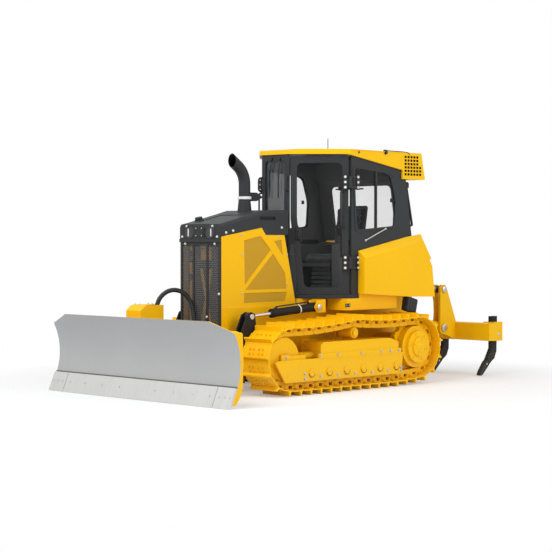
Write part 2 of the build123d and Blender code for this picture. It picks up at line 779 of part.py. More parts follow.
def cab_side():
    """The left wall behind the door, standing on the tank, with its window and the door's hinge pins."""
    outline = [
        (HINGE_POST[0] - 18, CAB_FLOOR),
        (HINGE_POST[0] - 18, wedge_height(HINGE_POST[0] - 18)),
        WEDGE_REAR,
        (AIRCON_FRONT, WEDGE_REAR[1]),
        (AIRCON_FRONT, REAR_TOP_Z),
        (REAR_TOP_X, REAR_TOP_Z),
        (REAR_BOTTOM_X, rear_foot()),
        TANK_OUTLINE[2],
        TANK_OUTLINE[1],
        (TANK_OUTLINE[1][0], CAB_FLOOR),
    ]
    wall = plate_y(outline, SIDE_Y - WALL_THICKNESS, SIDE_Y)
    corners = [Vector(x, SIDE_Y - WALL_THICKNESS - 5, z) for x, z in side_window()]
    wall = wall - window(corners, Vector(0, WALL_THICKNESS + 10, 0), 50)
    for z in HINGE_HEIGHTS:
        for low in (z - 66, z + 46):
            lug = bar((HINGE_AXIS.X, HINGE_AXIS.Y, low), (HINGE_AXIS.X, HINGE_AXIS.Y, low + 20), 20)
            leaf = block(-60, HINGE_AXIS.X, SIDE_Y - 2, SIDE_Y + 22, low, low + 20)
            wall = join(wall, leaf, lug)
        wall = join(wall, hinge_pin(z, HINGE_PIN_RADIUS))
    return wall


def windshield_corners(margin):
    """The corners of the windshield in Y and Z, drawn in by a margin."""
    half = WINDSHIELD_HALF_WIDTH - margin
    low = WINDSHIELD_LOW + margin
    high = CAB_TOP - 72 - margin
    return [(-half, low), (half, low), (half, high), (-half, high)]


def rear_window_corners(margin):
    """The corners of the rear window in Y and Z, drawn in by a margin."""
    half = REAR_WINDOW_HALF_WIDTH - margin
    low = REAR_WINDOW_LOW + margin
    high = REAR_TOP_Z - 67 - margin
    return [(-half, low), (half, low), (half, high), (-half, high)]


def cab_front():
    """The narrow windshield frame between the two doors."""
    outer = door_point(DOOR_LENGTH, 0, 0)
    inner = door_point(DOOR_LENGTH, -DOOR_THICKNESS, 0)
    face_x = outer.X + POST_NOSE
    plan = [
        (outer.X, outer.Y), (face_x, outer.Y - 16), (face_x, 16 - outer.Y), (outer.X, -outer.Y),
        (inner.X, -inner.Y), (inner.X, inner.Y),
    ]
    wall = plate_z(plan, CAB_FLOOR, CAB_TOP)
    corners = [Vector(inner.X - 20, y, z) for y, z in windshield_corners(0)]
    return wall - window(corners, Vector(100, 0, 0), 40)


def cab_rear():
    """The rear wall: upright between the tanks, leaning forward above them, with its window."""
    lean = [
        (REAR_BOTTOM_X, TANK_OUTLINE[3][1]),
        (REAR_TOP_X, REAR_TOP_Z),
        (REAR_TOP_X + WALL_THICKNESS, REAR_TOP_Z),
        (REAR_BOTTOM_X + WALL_THICKNESS, TANK_OUTLINE[3][1]),
    ]
    inner = SIDE_Y - WALL_THICKNESS
    upper = plate_y(lean, -inner, inner)
    corners = [Vector(REAR_BOTTOM_X - 105, y, z) for y, z in rear_window_corners(0)]
    upper = upper - window(corners, Vector(400, 0, 0), 60)
    half = TANK_INNER_Y
    lower = block(REAR_BOTTOM_X, REAR_BOTTOM_X + WALL_THICKNESS, -half, half, CAB_FLOOR, TANK_OUTLINE[3][1])
    return join(upper, lower)


def cab_floor():
    """The platform that the cab stands on, between the tanks and under the doors."""
    step_x = TANK_OUTLINE[0][0]
    plan = [
        (FRONT_POST[0] + 16, 235),
        (HINGE_POST[0] + 25, SIDE_Y + 6),
        (step_x, SIDE_Y + 6),
        (step_x, TANK_INNER_Y),
        (REAR_BOTTOM_X, TANK_INNER_Y),
    ]
    full = plan + [(x, -y) for x, y in reversed(plan)]
    return plate_z(full, HULL_TOP, CAB_FLOOR)


def cab_roof():
    """The yellow roof: thin in front, with side wedges that deepen to the air-conditioning box behind."""
    outline = [
        (ROOF_FRONT, CAB_TOP), (ROOF_FRONT, ROOF_TOP - 12),
        (ROOF_FRONT - 60, ROOF_TOP), (ROOF_REAR + 66, ROOF_TOP - 8),
        (ROOF_REAR, REAR_TOP_Z), (AIRCON_FRONT, REAR_TOP_Z), (AIRCON_FRONT, WEDGE_REAR[1]), WEDGE_REAR,
        WEDGE_FRONT, (WEDGE_FRONT[0] + 12, CAB_TOP),
    ]
    solid = plate_y(outline, -ROOF_HALF_WIDTH, ROOF_HALF_WIDTH)
    corner = (HINGE_POST[0] + 20, ROOF_HALF_WIDTH)
    plan = [(ROOF_FRONT, 235), corner, (ROOF_REAR - 5, ROOF_HALF_WIDTH)]
    full = plan + [(x, -y) for x, y in reversed(plan)]
    solid = solid & plate_z(full, REAR_TOP_Z - 50, ROOF_TOP + 30)
    inner = SIDE_Y - WALL_THICKNESS - 2
    reach = WEDGE_FRONT[0] + 20
    ceiling = [
        (AIRCON_FRONT, inner), (0, inner), (reach, inner - reach),
        (reach, reach - inner), (0, -inner), (AIRCON_FRONT, -inner),
    ]
    solid = solid - plate_z(ceiling, REAR_TOP_Z - 50, CAB_TOP)
    vents = []
    for row in range(VENT_ROWS):
        z = REAR_TOP_Z + 42 + row * 40
        for column in range(VENT_ROWS):
            x = ROOF_REAR + 70 + column * 52
            if x - ROOF_REAR > (z - REAR_TOP_Z) * 0.2 + 40:
                for y in (ROOF_HALF_WIDTH - VENT_DEPTH, -ROOF_HALF_WIDTH - 10):
                    vents.append(block(x, x + 38, y, y + VENT_DEPTH + 10, z, z + 27))
    solid = solid.cut(*vents)
    foot = bar((*ANTENNA, ROOF_TOP - 10), (*ANTENNA, ROOF_TOP + 14), 16)
    whip = bar((*ANTENNA, ROOF_TOP), (*ANTENNA, ANTENNA_TOP), 4)
    return join(solid, foot, whip)


def cab_glass():
    """Windshield, rear side windows and rear window."""
    inner = door_point(DOOR_LENGTH, -DOOR_THICKNESS, 0)
    shield = [Vector(inner.X + 20, y, z) for y, z in windshield_corners(GLASS_FIT)]
    windshield = window(shield, Vector(GLASS_THICKNESS, 0, 0), 40)
    corners = [Vector(x, SIDE_Y - 20, z) for x, z in side_window()]
    face = Face(Wire.make_polygon(corners, close=True))
    side = Solid.extrude(face.fillet_2d(50, face.vertices()), Vector(0, GLASS_THICKNESS, 0))
    lean = (REAR_TOP_X - REAR_BOTTOM_X) / (REAR_TOP_Z - TANK_OUTLINE[3][1])
    rear_x = REAR_BOTTOM_X + 10 - lean * TANK_OUTLINE[3][1]
    rear = [Vector(rear_x + lean * z, y, z) for y, z in rear_window_corners(GLASS_FIT)]
    back = window(rear, Vector(GLASS_THICKNESS, 0, 0), 60)
    return join_apart(windshield, side, mirrored(side), back)


def seat():
    """Seat box, cushion and backrest."""
    rear, front = SEAT_X
    half = SEAT_HALF_WIDTH
    top = CAB_FLOOR + SEAT_HEIGHT
    under = top - CUSHION_THICKNESS
    base = block(rear, front - 50, -half + 20, half - 20, CAB_FLOOR, under + 5)
    cushion = block(rear, front, -half, half, under, top)
    foot_x = rear + 40
    head_x = rear - 60
    head_z = CAB_FLOOR + SEAT_BACK_HEIGHT
    back = [
        (foot_x, top - 10), (head_x, head_z),
        (head_x - SEAT_BACK_THICKNESS, head_z), (foot_x - SEAT_BACK_THICKNESS - 10, top - 10),
    ]
    back = plate_y(back, -half + 20, half - 20)
    return join(base, cushion, back)


def console():
    """The instrument pillar behind the windshield and the two arm consoles beside the seat."""
    rear, front = CONSOLE_X
    top = WINDSHIELD_LOW
    outline = [
        (rear + 10, CAB_FLOOR), (front, CAB_FLOOR), (front, top - 20), (rear + 30, top), (rear, top - 80),
    ]
    pillar = plate_y(outline, -CONSOLE_HALF_WIDTH, CONSOLE_HALF_WIDTH)
    arms = block(*ARMREST_X, *ARMREST_Y, CAB_FLOOR, CAB_FLOOR + ARMREST_HEIGHT)
    return join_apart(pillar, arms, mirrored(arms))


def tank():
    """The left tank and fender, its outer top edges bevelled."""
    solid = plate_y(TANK_OUTLINE, TANK_INNER_Y, TANK_OUTER_Y)
    top_edges = []
    for edge in solid.edges():
        ends = edge.vertices()
        outer = min(ends[0].Y, ends[1].Y) > TANK_OUTER_Y - 1
        high = min(ends[0].Z, ends[1].Z) > 1440
        if outer and high:
            top_edges.append(edge)
    solid = solid.chamfer(TANK_CHAMFER, None, top_edges)
    front = TANK_OUTLINE[0][0]
    fender_y = (TANK_INNER_Y, FENDER_OUTER_Y)
    under_tank = block(FENDER_REAR, front - 5, *fender_y, FENDER_LOW, TANK_OUTLINE[0][1] + 8)
    under_cab = block(front - 10, FENDER_FRONT, *fender_y, FENDER_LOW, HULL_TOP - SEAT_GAP)
    return join(solid, under_tank, under_cab)


def handrails():
    """Rails on the cab's rear corners."""
    y = SIDE_Y - 60
    route = [(-935, y, 2290), (-1010, y, 2270), (-1110, y, 1830), (-1030, y, 1800)]
    rail = bar(route[0], route[1], 14)
    for start, end in zip(route[1:], route[2:]):
        rail = join(rail, bar(start, end, 14), Solid.make_sphere(14, Plane(origin=start)))
    inside = [(REAR_BOTTOM_X, 1650), (REAR_TOP_X, REAR_TOP_Z), (-500, REAR_TOP_Z), (-500, 1650)]
    return rail - plate_y(inside, y - 50, y + 50)


# Blade frame

def direction(start, end):
    return Vector(*start), (Vector(*end) - Vector(*start)).normalized()


def barrel(base, eye, length, eye_axis, base_half_width, pin_radius, barrel_radius, rod_radius):
    """A cylinder barrel from its base eye towards the rod's eye, bored for the rod."""
    start, along = direction(base, eye)
    across = Vector(*eye_axis)
    boss = bar(start - across * base_half_width, start + across * base_half_width, barrel_radius + GLAND_STEP)
    tube = bar(start, start + along * length, barrel_radius)
    gland = bar(start + along * (length - 50), start + along * length, barrel_radius + GLAND_STEP)
    solid = join(boss, tube, gland)
    solid = solid - bar(start - across * 200, start + across * 200, pin_radius + RUNNING_CLEARANCE)
    return solid - bar(start + along * 80, start + along * (length + 10), rod_radius + RUNNING_CLEARANCE)


def rod(base, eye, length, inside, eye_axis, rod_radius, eye_radius):
    """A piston rod from inside its barrel out to its eye."""
    start, along = direction(base, eye)
    end = Vector(*eye)
    across = Vector(*eye_axis)
    shaft = bar(start + along * (length - inside), end - along * 10, rod_radius)
    boss = bar(end - across * EYE_HALF_WIDTH, end + across * EYE_HALF_WIDTH, eye_radius)
    return join(shaft, boss) - bar(end - across * 100, end + across * 100, eye_radius * 0.55)


def lift_points():
    return (LIFT_BASE[0], LIFT_Y, LIFT_BASE[1]), (LIFT_EYE[0], LIFT_Y, LIFT_EYE[1])


def lift_bracket():
    """The left bracket on the hull that carries the lift cylinder's base pin."""
    half = BARREL_RADIUS + BARREL_SIDE_GAP
    outline = [(LIFT_BASE[0] - 80, 850), (LIFT_BASE[0] - 80, HULL_TOP - 5), (LIFT_BASE[0] + 10, 985),
               (LIFT_BASE[0] + 55, LIFT_BASE[1]), (LIFT_BASE[0] + 20, 850)]
    wall_x = (LIFT_BASE[0] - 110, LIFT_BASE[0] - 80)
    pieces = [block(*wall_x, HULL_HALF_WIDTH, LIFT_Y + half + EAR_THICKNESS, 850, HULL_TOP - 5)]
    for y_low in (LIFT_Y - half - EAR_THICKNESS, LIFT_Y + half):
        pieces.append(plate_y(outline, y_low, y_low + EAR_THICKNESS))
    pin_y = (LIFT_Y - half - 10, LIFT_Y + half + EAR_THICKNESS + 12)
    pieces.append(bar(*[(LIFT_BASE[0], y, LIFT_BASE[1]) for y in pin_y], PIN_RADIUS))
    return join(*pieces)


def c_frame():
    """Two arms from the hull's pivots to a front cross member with the yoke's post, and the lift ears."""
    x0, z0 = ARM_PIVOT
    pieces = []
    for side in (-1, 1):
        arm = sorted((side * ARM_INNER_Y, side * ARM_OUTER_Y))
        outline = [
            (x0, z0 - ARM_HALF_HEIGHT), (x0, z0 + ARM_HALF_HEIGHT), (900, z0 + ARM_HALF_HEIGHT + 5),
            (CROSS_FRONT, z0 + 50), (CROSS_FRONT, z0 - 60), (900, z0 - ARM_HALF_HEIGHT - 15),
        ]
        solid = join(plate_y(outline, *arm), bar((x0, arm[0], z0), (x0, arm[1], z0), ARM_BOSS_RADIUS))
        solid = solid - bar((x0, arm[0] - 5, z0), (x0, arm[1] + 5, z0), ARM_PIN_RADIUS + RUNNING_CLEARANCE)
        pieces.append(solid)
        x1, z1 = LIFT_EYE
        ear = [
            (x1 - 70, z0 + 40), (x1 - 55, z1 - 60), (x1 - 40, z1 + 30), (x1 + 10, z1 + 50),
            (x1 + 70, z1 + 20), (x1 + 150, z1 - 150), (x1 + 150, z0 + 40),
        ]
        gap = EYE_HALF_WIDTH + EAR_GAP
        for offset in (-gap - EAR_THICKNESS, gap):
            ear_y = sorted((side * (LIFT_Y + offset), side * (LIFT_Y + offset + EAR_THICKNESS)))
            pieces.append(plate_y(ear, *ear_y))
        web_y = sorted((side * (LIFT_Y - gap - 2), side * (LIFT_Y + gap + 2)))
        pieces.append(block(LIFT_EYE[0] - 60, LIFT_EYE[0] + 150, *web_y, z0 + 40, LIFT_EYE[1] - 170))
        lug_y = sorted((side * (ANGLE_BASE[1] - 30), side * (ARM_INNER_Y + 5)))
        lug_gap = SMALL_BARREL_RADIUS + BARREL_SIDE_GAP
        for z_low in (ANGLE_Z - lug_gap - EAR_THICKNESS, ANGLE_Z + lug_gap):
            pieces.append(block(ANGLE_BASE[0] - 35, ANGLE_BASE[0] + 35, *lug_y, z_low, z_low + EAR_THICKNESS))
        pin = (ANGLE_BASE[0], side * ANGLE_BASE[1])
        pieces.append(bar((*pin, ANGLE_Z - lug_gap - 5), (*pin, ANGLE_Z + lug_gap + 5), SMALL_PIN_RADIUS))
    cross = block(CROSS_REAR, CROSS_FRONT, -ARM_OUTER_Y, ARM_OUTER_Y, z0 - 60, z0 + 20)
    tongue = [(CROSS_FRONT - 10, -260), (YOKE_X + 60, -90), (YOKE_X + 60, 90), (CROSS_FRONT - 10, 260)]
    tongue = plate_z(tongue, YOKE_LOW - 90, YOKE_LOW - 4)
    post = bar((YOKE_X, 0, YOKE_LOW - 20), (YOKE_X, 0, YOKE_HIGH + 30), YOKE_POST_RADIUS)
    cap = bar((YOKE_X, 0, YOKE_HIGH + 4), (YOKE_X, 0, YOKE_HIGH + 34), YOKE_POST_RADIUS + 25)
    return join(cross, *pieces, tongue, post, cap)


def blade_yoke():
    """The swivel on the blade frame's post: hub, cross beam, angle lugs, tilt pin and the guard's stand."""
    hub = bar((YOKE_X, 0, YOKE_LOW), (YOKE_X, 0, YOKE_HIGH), YOKE_POST_RADIUS + 45)
    beam = block(2235, YOKE_FACE, -330, 330, YOKE_LOW, YOKE_HIGH)
    neck = block(YOKE_X, 2245, -110, 110, YOKE_LOW, YOKE_HIGH)
    pieces = [hub, beam, neck]
    for side in (-1, 1):
        lug_y = sorted((side * 300, side * (ANGLE_EYE[1] + 45)))
        for z_low in (ANGLE_Z - EYE_HALF_WIDTH - EAR_GAP - EAR_THICKNESS, ANGLE_Z + EYE_HALF_WIDTH + EAR_GAP):
            pieces.append(block(ANGLE_EYE[0] - 40, YOKE_FACE, *lug_y, z_low, z_low + EAR_THICKNESS))
    pieces.append(bar((YOKE_FACE - 20, 0, TILT_Z), (2415, 0, TILT_Z), TILT_PIN_RADIUS))
    stand = block(2230, 2246, GUARD_Y[0] + 20, GUARD_Y[1] - 30, YOKE_HIGH - 60, GUARD_Z[0] + 20)
    pieces.append(stand)
    gap = SMALL_BARREL_RADIUS + BARREL_SIDE_GAP
    ear_y = (TILT_BASE[0] - 45, TILT_BASE[0] + 45)
    for x_low in (TILT_X - gap - 8, TILT_X + gap):
        pieces.append(block(x_low, x_low + 8, *ear_y, YOKE_HIGH - 10, TILT_BASE[1] + 45))
    pieces.append(bar((TILT_X - gap - 5, *TILT_BASE), (TILT_X + gap + 5, *TILT_BASE), SMALL_PIN_RADIUS))
    solid = join(*pieces)
    post = [(YOKE_X, 0, z) for z in (YOKE_LOW - 10, YOKE_HIGH + 10)]
    return solid - bar(*post, YOKE_POST_RADIUS + RUNNING_CLEARANCE)


def hose_guard():
    """The yellow box over the tilt hoses: open below, notched behind for the hose, bevelled in front."""
    outline = [(GUARD_X[0], GUARD_Z[0]), (GUARD_X[0], GUARD_Z[1]), (GUARD_X[1] - 70, GUARD_Z[1]),
               (GUARD_X[1], GUARD_Z[1] - 55), (GUARD_X[1], GUARD_Z[0])]
    box = plate_y(outline, *GUARD_Y)
    wall = 8
    hollow = [
        (GUARD_X[0] + wall, GUARD_Z[0] - 5), (GUARD_X[0] + wall, GUARD_Z[1] - wall),
        (GUARD_X[1] - 74, GUARD_Z[1] - wall), (GUARD_X[1] - wall, GUARD_Z[1] - 60),
        (GUARD_X[1] - wall, GUARD_Z[0] - 5),
    ]
    box = box - plate_y(hollow, GUARD_Y[0] + wall, GUARD_Y[1] - wall)
    box = box - block(GUARD_X[0] - 10, 2190, -305, -220, GUARD_Z[1] - 90, GUARD_Z[1] + 10)
    shelf = block(2210, 2230, GUARD_Y[0] + 30, GUARD_Y[1] - 40, GUARD_Z[0] - 40, GUARD_Z[0] + 16)
    floor = block(2100, 2230, GUARD_Y[0] + 4, GUARD_Y[1] - 4, GUARD_Z[0], GUARD_Z[0] + 16)
    return join(box, shelf, floor)


def blade_profile(offset, z_low, z_high):
    """Where the blade's curved face, moved back by an offset, crosses two heights and its middle."""
    radius = BLADE_CURVE_RADIUS + offset
    points = []
    for z in (z_low, (z_low + z_high) / 2, z_high):
        points.append(Vector(BLADE_CURVE_X - math.sqrt(radius ** 2 - (z - BLADE_CURVE_Z) ** 2), 0, z))
    return points


def blade_slice(front_offset, back_points, y_low, y_high):
    """A slice of the blade between its curved face and a line of points behind it."""
    front = blade_profile(front_offset, back_points[-1][1], back_points[0][1])
    arc = ThreePointArc(*front)
    back = Polyline([front[2]] + [Vector(x, 0, z) for x, z in back_points] + [front[0]])
    face = Face(Wire([*arc.edges(), *back.edges()]))
    return Solid.extrude(face.moved(Location((0, y_low, 0))), Vector(0, y_high - y_low, 0))


def moldboard():
    """The curved blade sheet with its back ribs, end plates and the tilt boss."""
    half = BLADE_WIDTH / 2
    front = blade_profile(0, BLADE_LOW, BLADE_TOP)
    behind = blade_profile(BLADE_SHEET, BLADE_LOW, BLADE_TOP)
    edges = [
        ThreePointArc(*front), Line(front[2], behind[2]),
        ThreePointArc(*reversed(behind)), Line(behind[0], front[0]),
    ]
    face = Face(Wire([edge for part in edges for edge in part.edges()]))
    sheet = Solid.extrude(face.moved(Location((0, -half, 0))), Vector(0, 2 * half, 0))
    sheet = join(sheet, blade_slice(6, [(2440, 760), (2400, 720), (2400, 640)], -half, half))
    sheet = join(sheet, blade_slice(6, [(2400, 300), (2400, 190), (2440, 172)], -half, half))
    for y in (-half, -900, -450, 450, 900, half):
        inward = END_PLATE if y > 0 else 0
        edge = [(2480, 838), (2400, 730), (2390, 450), (2400, 190), (2440, 172)]
        rib = blade_slice(6, edge, y - inward, y - inward + END_PLATE)
        sheet = join(sheet, rib)
    boss = bar((BLADE_BACK, 0, TILT_Z), (2425, 0, TILT_Z), TILT_PIN_RADIUS + 60)
    saddle = blade_slice(6, [(2385, 700), (2385, 190)], -170, 170)
    sheet = join(sheet, boss, saddle)
    sheet = sheet - bar((BLADE_BACK - 5, 0, TILT_Z), (2418, 0, TILT_Z), TILT_PIN_RADIUS + RUNNING_CLEARANCE)
    foot_y = (TILT_EYE[0] - 50, TILT_EYE[0] + 50)
    for x_low in (TILT_X - EYE_HALF_WIDTH - EAR_GAP - 14, TILT_X + EYE_HALF_WIDTH + EAR_GAP):
        ear = block(x_low, x_low + 14, *foot_y, TILT_EYE[1] - 110, TILT_EYE[1] + 50)
        sheet = join(sheet, ear)
    foot_x = (TILT_X - EYE_HALF_WIDTH - EAR_GAP - 14, BLADE_BACK + 80)
    foot = block(*foot_x, *foot_y, TILT_EYE[1] - 130, TILT_EYE[1] - 100)
    sheet = join(sheet, foot)
    for side in (-1, 1):
        corner = [
            (side * (half + 5), BLADE_TOP - BLADE_CORNER[1]),
            (side * (half - BLADE_CORNER[0]), BLADE_TOP + 0.5),
            (side * (half + 5), BLADE_TOP + 0.5),
        ]
        sheet = sheet - plate_x(corner, BLADE_BACK - 45, BLADE_CURVE_X)
    return sheet


def cutting_edge():
    """The bolted edge along the blade's foot: a middle piece and an end bit at each side."""
    half = BLADE_WIDTH / 2
    root = blade_profile(0, BLADE_LOW, BLADE_TOP)[0]
    rise = (BLADE_CURVE_Z - BLADE_LOW) / BLADE_CURVE_RADIUS
    run = math.sqrt(1 - rise ** 2)
    seat = Vector(root.X + run * EDGE_SEAT, root.Z + rise * EDGE_SEAT)
    front = seat + Vector(run, rise) * EDGE_THICKNESS
    outline = [
        (seat.X - rise * EDGE_LAP, seat.Y + run * EDGE_LAP),
        (front.X - rise * EDGE_LAP, front.Y + run * EDGE_LAP),
        (front.X + rise * (front.Y - EDGE_LOW) / run, EDGE_LOW),
        (seat.X + rise * (seat.Y - EDGE_LOW) / run, EDGE_LOW),
    ]
    bit = half - END_BIT_LENGTH
    spans = [(-half, -bit - 2), (-bit, bit), (bit + 2, half)]
    return join_apart(*[plate_y(outline, *span) for span in spans])


def cylinders():
    """Barrels and rods of the lift, angle, tilt and ripper cylinders."""
    base, eye = lift_points()
    made = {}
    y_axis, z_axis, x_axis = (0, 1, 0), (0, 0, 1), (1, 0, 0)
    large = (PIN_RADIUS, BARREL_RADIUS, ROD_RADIUS)
    small = (SMALL_PIN_RADIUS, SMALL_BARREL_RADIUS, SMALL_ROD_RADIUS)
    lift_barrel = barrel(base, eye, LIFT_BARREL_LENGTH, y_axis, BARREL_RADIUS - 2, *large)
    made["lift_barrels"] = both_sides(lift_barrel)
    made["lift_rods"] = both_sides(rod(base, eye, LIFT_BARREL_LENGTH, 300, y_axis, ROD_RADIUS, EYE_RADIUS))
    base, eye = (*ANGLE_BASE, ANGLE_Z), (*ANGLE_EYE, ANGLE_Z)
    angle_barrel = barrel(base, eye, ANGLE_BARREL_LENGTH, z_axis, SMALL_BARREL_RADIUS, *small)
    angle_rod = rod(base, eye, ANGLE_BARREL_LENGTH, 300, z_axis, SMALL_ROD_RADIUS, SMALL_BARREL_RADIUS)
    made["angle_barrel_left"] = angle_barrel
    made["angle_rod_left"] = angle_rod
    made["angle_barrel_right"] = mirrored(angle_barrel)
    made["angle_rod_right"] = mirrored(angle_rod)
    base, eye = (TILT_X, *TILT_BASE), (TILT_X, *TILT_EYE)
    made["tilt_barrel"] = barrel(base, eye, TILT_BARREL_LENGTH, x_axis, SMALL_BARREL_RADIUS, *small)
    made["tilt_rod"] = rod(base, eye, TILT_BARREL_LENGTH, 150, x_axis, SMALL_ROD_RADIUS, SMALL_BARREL_RADIUS)
    base = (RIPPER_BASE[0], RIPPER_CYLINDER_Y, RIPPER_BASE[1])
    eye = (RIPPER_EYE[0], RIPPER_CYLINDER_Y, RIPPER_EYE[1])
    ripper_barrel = barrel(base, eye, RIPPER_BARREL_LENGTH, y_axis, BARREL_RADIUS, *large)
    made["ripper_barrels"] = both_sides(ripper_barrel)
    ripper_rod = rod(base, eye, RIPPER_BARREL_LENGTH, 270, y_axis, ROD_RADIUS, EYE_RADIUS)
    made["ripper_rods"] = both_sides(ripper_rod)
    return made


# Ripper

def ripper_mount():
    """The bracket on the hull's rear: a plate, two arms with the ripper's pivot pins, and cylinder lugs."""
    x0, z0 = RIPPER_PIVOT
    plate = block(HULL_REAR - 50, HULL_REAR, -HULL_HALF_WIDTH, HULL_HALF_WIDTH, 450, HULL_TOP)
    pieces = [plate]
    for side in (-1, 1):
        arm_y = sorted((side * (RIPPER_PLATE_Y - 10), side * (RIPPER_PLATE_Y - 75)))
        arm = [
            (HULL_REAR - 45, 840), (HULL_REAR - 45, 480), (x0 + 40, z0 - 70), (x0 - 40, z0 - 60),
            (x0 - 70, z0), (x0 - 40, z0 + 60), (-1700, z0 + 110),
        ]
        pieces.append(plate_y(arm, *arm_y))
        pin_y = (side * (RIPPER_PLATE_Y - 15), side * (RIPPER_PLATE_Y + RIPPER_PLATE + 14))
        pieces.append(bar(*[(x0, y, z0) for y in pin_y], RIPPER_PIN_RADIUS))
        x1, z1 = RIPPER_BASE
        lug = [
            (HULL_REAR - 50, HULL_TOP - 10), (HULL_REAR - 50, z1 - 30), (x1 - 45, z1 + 40),
            (x1 + 40, z1 + 40), (x1 + 60, HULL_TOP + 0.5), (HULL_REAR - 0.5, HULL_TOP + 0.5),
            (HULL_REAR - 0.5, HULL_TOP - 10),
        ]
        gap = BARREL_RADIUS + BARREL_SIDE_GAP
        for offset in (-gap - EAR_THICKNESS, gap):
            inner = RIPPER_CYLINDER_Y + offset
            pieces.append(plate_y(lug, *sorted((side * inner, side * (inner + EAR_THICKNESS)))))
        pin_y = sorted((side * (RIPPER_CYLINDER_Y - gap - 10), side * (RIPPER_CYLINDER_Y + gap + 10)))
        pieces.append(bar(*[(x1, y, z1) for y in pin_y], PIN_RADIUS))
    return join(*pieces)


def ripper_frame():
    """Two side plates with their pivot bores, and the beam with three shank boxes."""
    x0, z0 = RIPPER_PIVOT
    x1, z1 = RIPPER_EYE
    pieces = [block(BEAM_REAR, BEAM_FRONT, -BEAM_HALF_WIDTH, BEAM_HALF_WIDTH, BEAM_LOW, BEAM_HIGH)]
    for side in (-1, 1):
        plate_span = sorted((side * RIPPER_PLATE_Y, side * (RIPPER_PLATE_Y + RIPPER_PLATE)))
        outline = [
            (x0 + 65, z0 - 30), (x0 + 65, z1 + 15), (x1 + 40, z1 + 55), (x1 - 30, z1 + 55), (x1 - 65, z1),
            (BEAM_FRONT - 10, BEAM_HIGH + 20), (BEAM_FRONT - 10, BEAM_LOW), (x0 - 60, BEAM_LOW + 60),
            (x0 + 30, z0 - 70),
        ]
        plate = plate_y(outline, *plate_span)
        pivot = [(x0, y, z0) for y in (plate_span[0] - 5, plate_span[1] + 5)]
        pieces.append(plate - bar(*pivot, RIPPER_PIN_RADIUS + RUNNING_CLEARANCE))
        cap_y = side * (RIPPER_PLATE_Y + RIPPER_PLATE)
        pieces.append(bar((x1, cap_y - side * 5, z1), (x1, cap_y + side * 12, z1), 28))
    solid = join(*pieces)
    for y in (-SHANK_Y, 0, SHANK_Y):
        box = block(SHANK_REAR - 30, BEAM_REAR + 5, y - 85, y + 85, BEAM_LOW - 10, BEAM_HIGH + 10)
        slot = block(SHANK_REAR - 0.5, SHANK_REAR + SHANK_DEPTH + 0.5, y - SHANK_THICKNESS / 2 - 0.5,
                     y + SHANK_THICKNESS / 2 + 0.5, BEAM_LOW - 50, BEAM_HIGH + 50)
        solid = join(solid, box) - slot
    return solid


def ripper_shanks():
    """Three shanks, straight through the beam and bent forward to their points."""
    front = SHANK_REAR + SHANK_DEPTH
    outline = [
        (SHANK_REAR, SHANK_TOP), (front, SHANK_TOP), (front, 330), (front + 60, 230),
        (front + 210, SHANK_TIP), (front + 175, SHANK_TIP), (front + 10, 160),
        (front - 60, 205), (SHANK_REAR + 10, 290),
    ]
    half = SHANK_THICKNESS / 2
    return join_apart(*[plate_y(outline, y - half, y + half) for y in (-SHANK_Y, 0, SHANK_Y)])


# Hose from the hull's front to the guard box

HOSE_RADIUS = 25
HOSE_ROUTE = [
    (1718, -6, 520),
    (1718, -6, 640),
    (1708, -30, 790),
    (1706, -55, 925),
    (1732, -88, 1035),
    (1808, -130, 1108),
    (1905, -178, 1122),
    (1990, -220, 1075),
    (2046, -248, 985),
    (2058, -256, 870),
]


def hose():
    """One hose that arches from the hull to the guard box: straight runs with tangent arcs."""
    points = [Vector(*p) for p in HOSE_ROUTE]
    radii = []
    for before, here, after in zip(points, points[1:], points[2:]):
        turn = (here - before).get_angle(after - here)
        shorter = min((here - before).length, (after - here).length)
        radii.append(0.45 * shorter / math.tan(math.radians(turn / 2)))
    path = FilletPolyline(*points, radius=radii)
    start = points[0]
    section = Face(Wire.make_circle(HOSE_RADIUS, Plane(origin=start, z_dir=points[1] - start)))
    return Solid.sweep(section, Wire(path.edges()))


def build():
    pieces = {
        "main_frame": main_frame(),
        "engine_block": engine_block(),
        "radiator": radiator(),
        "hood": hood(),
        "nose_panel": nose_panel(),
        "head_lamps": head_lamps(),
        "grille": grille(),
        "side_panels": both_sides(side_panel()),
        "exhaust": exhaust(),
        "cab_floor": cab_floor(),
        "cab_front": cab_front(),
        "cab_sides": both_sides(cab_side()),
        "cab_rear": cab_rear(),
        "cab_roof": cab_roof(),
        "cab_glass": cab_glass(),
        "seat": seat(),
        "console": console(),
        "tanks": both_sides(tank()),
        "handrails": both_sides(handrails()),
        "track_frames": both_sides(track_frame()),
        "track_left": track(),
        "idlers": both_sides(idler()),
        "sprockets": both_sides(sprocket()),
        "rollers": join_apart(*rollers(), *[mirrored(r) for r in rollers()]),
        "lift_brackets": both_sides(lift_bracket()),
        "ripper_mount": ripper_mount(),
        "hose": hose(),
        "door_left": door(),
        "door_glass_left": door_glass(),
        "c_frame": c_frame(),
        "blade_yoke": blade_yoke(),
        "hose_guard": hose_guard(),
        "moldboard": moldboard(),
        "cutting_edge": cutting_edge(),
        "ripper_frame": ripper_frame(),
        "ripper_shanks": ripper_shanks(),
    }
    for name in [n for n in pieces if n.endswith("_left")]:
        pieces[name.replace("_left", "_right")] = mirrored(pieces[name])
    pieces.update(cylinders())
    return pieces


if __name__ == "__main__":
    os.makedirs("parts", exist_ok=True)
    for name, shape in build().items():
        export_step(shape, f"parts/{name}.step")
